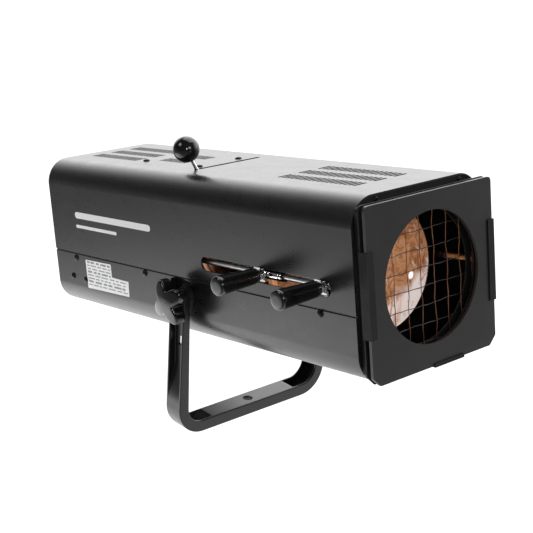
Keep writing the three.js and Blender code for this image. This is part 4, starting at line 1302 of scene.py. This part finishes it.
def make_camera():
    """Photographer's view: from the operator's side, in front and above, a little rolled."""
    data = bpy.data.cameras.new("camera")
    data.sensor_width = 36
    data.lens = 82.1
    data.clip_start, data.clip_end = 0.05, 50
    distance = 1.5
    camera = bpy.data.objects.new("camera", data)
    bpy.context.scene.collection.objects.link(camera)
    pivot = Vector(JOINTS["tilt"]["pos_m"])
    aim = pivot + Vector((0.0076, 0.0177, 0.0153))
    forward = Vector((-0.70381, 0.6169, -0.35230)).normalized()
    upward = Vector((-0.28824, 0.2054, 0.93536))
    right = forward.cross(upward).normalized()
    upward = right.cross(forward)
    turn = Matrix((right, upward, -forward)).transposed().to_4x4()
    camera.matrix_world = Matrix.Translation(aim - distance * forward) @ turn
    bpy.context.scene.camera = camera


def make_lamp_panel(name, place, aim, size, power):
    """Rectangular soft light. Size is width and height in metres, power in watts."""
    data = bpy.data.lights.new(name, "AREA")
    data.shape = "RECTANGLE"
    data.size, data.size_y = size
    data.energy = power
    made = bpy.data.objects.new(name, data)
    bpy.context.scene.collection.objects.link(made)
    made.location = place
    made.rotation_euler = (Vector(aim) - Vector(place)).to_track_quat("-Z", "Y").to_euler()


def make_sky():
    """White behind the camera's view; what the paint mirrors is bright low down on the far rear side."""
    world = bpy.data.worlds.new("studio")
    bpy.context.scene.world = world
    world.use_nodes = True
    background = world.node_tree.nodes["Background"]
    background.inputs["Color"].default_value = (1, 1, 1, 1)
    g = Graph(world.node_tree)
    toward = g.add("ShaderNodeTexCoord").outputs["Generated"]
    far_rear = g.band(g.vector("DOT_PRODUCT", toward, (-0.45, 0.89, 0.0)), 0.1, 0.8, shape="SMOOTHSTEP")
    height = g.parts(toward)["Z"]
    low_down = g.band(height, 0.92, 0.4, shape="SMOOTHSTEP")
    haze = g.band(height, 0, 0.22, 0.5, 1)
    glow = g.times(far_rear, g.times(haze, low_down))
    g.join(g.for_camera(g.band(glow, 0, 1, 0.1, 3.3), 1.0), background.inputs["Strength"])


def make_floor():
    """Pale paper floor with a pool of light beside the lamp house, which its side mirrors."""
    half_size, height = 14, -0.34
    bm = bmesh.new()
    bmesh.ops.create_grid(bm, x_segments=8, y_segments=8, size=half_size)
    mesh = bpy.data.meshes.new("floor")
    bm.to_mesh(mesh)
    bm.free()
    floor = bpy.data.objects.new("floor", mesh)
    floor.location = (0, 0, height)
    bpy.context.scene.collection.objects.link(floor)
    r = Recipe("floor_paper")
    color = r.blend(r.band(r.noise(260, 3), 0.3, 0.7), (0.2, 0.2, 0.2), (0.23, 0.23, 0.23))
    sides = r.parts(r.place)
    pool = r.band(r.vector("DISTANCE", r.place, (-0.6, -0.75, 0)), 0.98, 0.0, 0, 3.0)
    behind = r.times(r.band(sides["Y"], -0.7, -0.1), r.band(sides["X"], 2.2, 0.6))
    glow = r.math("ADD", pool, r.band(behind, 0, 1, 0.1, 1.0))
    r.shader.inputs["Emission Color"].default_value = (1, 1, 1, 1)
    r.join(r.for_camera(glow, 0.97), r.shader.inputs["Emission Strength"])
    roughness = r.band(r.noise(40, 3), 0.3, 0.7, 0.75, 0.9)
    mesh.materials.append(r.finish(color, roughness, r.bump(r.noise(3, 3), 0.05)))


def make_studio():
    bpy.context.scene.view_settings.view_transform = "Standard"
    make_sky()
    make_floor()
    make_lamp_panel("key", (-0.9, -2.0, 2.1), (-0.1, 0, 0.2), (1.2, 0.9), 14)
    make_lamp_panel("by_camera", (1.45, -1.0, 0.95), (0.0, 0, 0.2), (0.2, 0.2), 6)
    make_lamp_panel("front", (1.9, -0.2, 1.3), (0.25, 0, 0.24), (0.7, 0.7), 8)
    make_lamp_panel("top", (-0.5, 0.9, 2.3), (-0.2, 0, 0.2), (2.4, 1.8), 40)


# ------------------------------------------------------------------ assembly

random.seed(7)
make_camera()
make_cover()
make_tray()
make_bulkheads()
make_shade_liner()
make_colour_frame()
make_guard()
make_rods()
for carriage in ("focus", "zoom"):
    make_lens(carriage)
    make_bushes(carriage)
    make_handle(carriage)
make_iris()
make_lamp()
make_rear()
make_yoke()
make_pivot("operator", -1)
make_pivot("far", 1)
make_screws()
make_label()
make_stripes()
dress_frame_nodes()
make_studio()
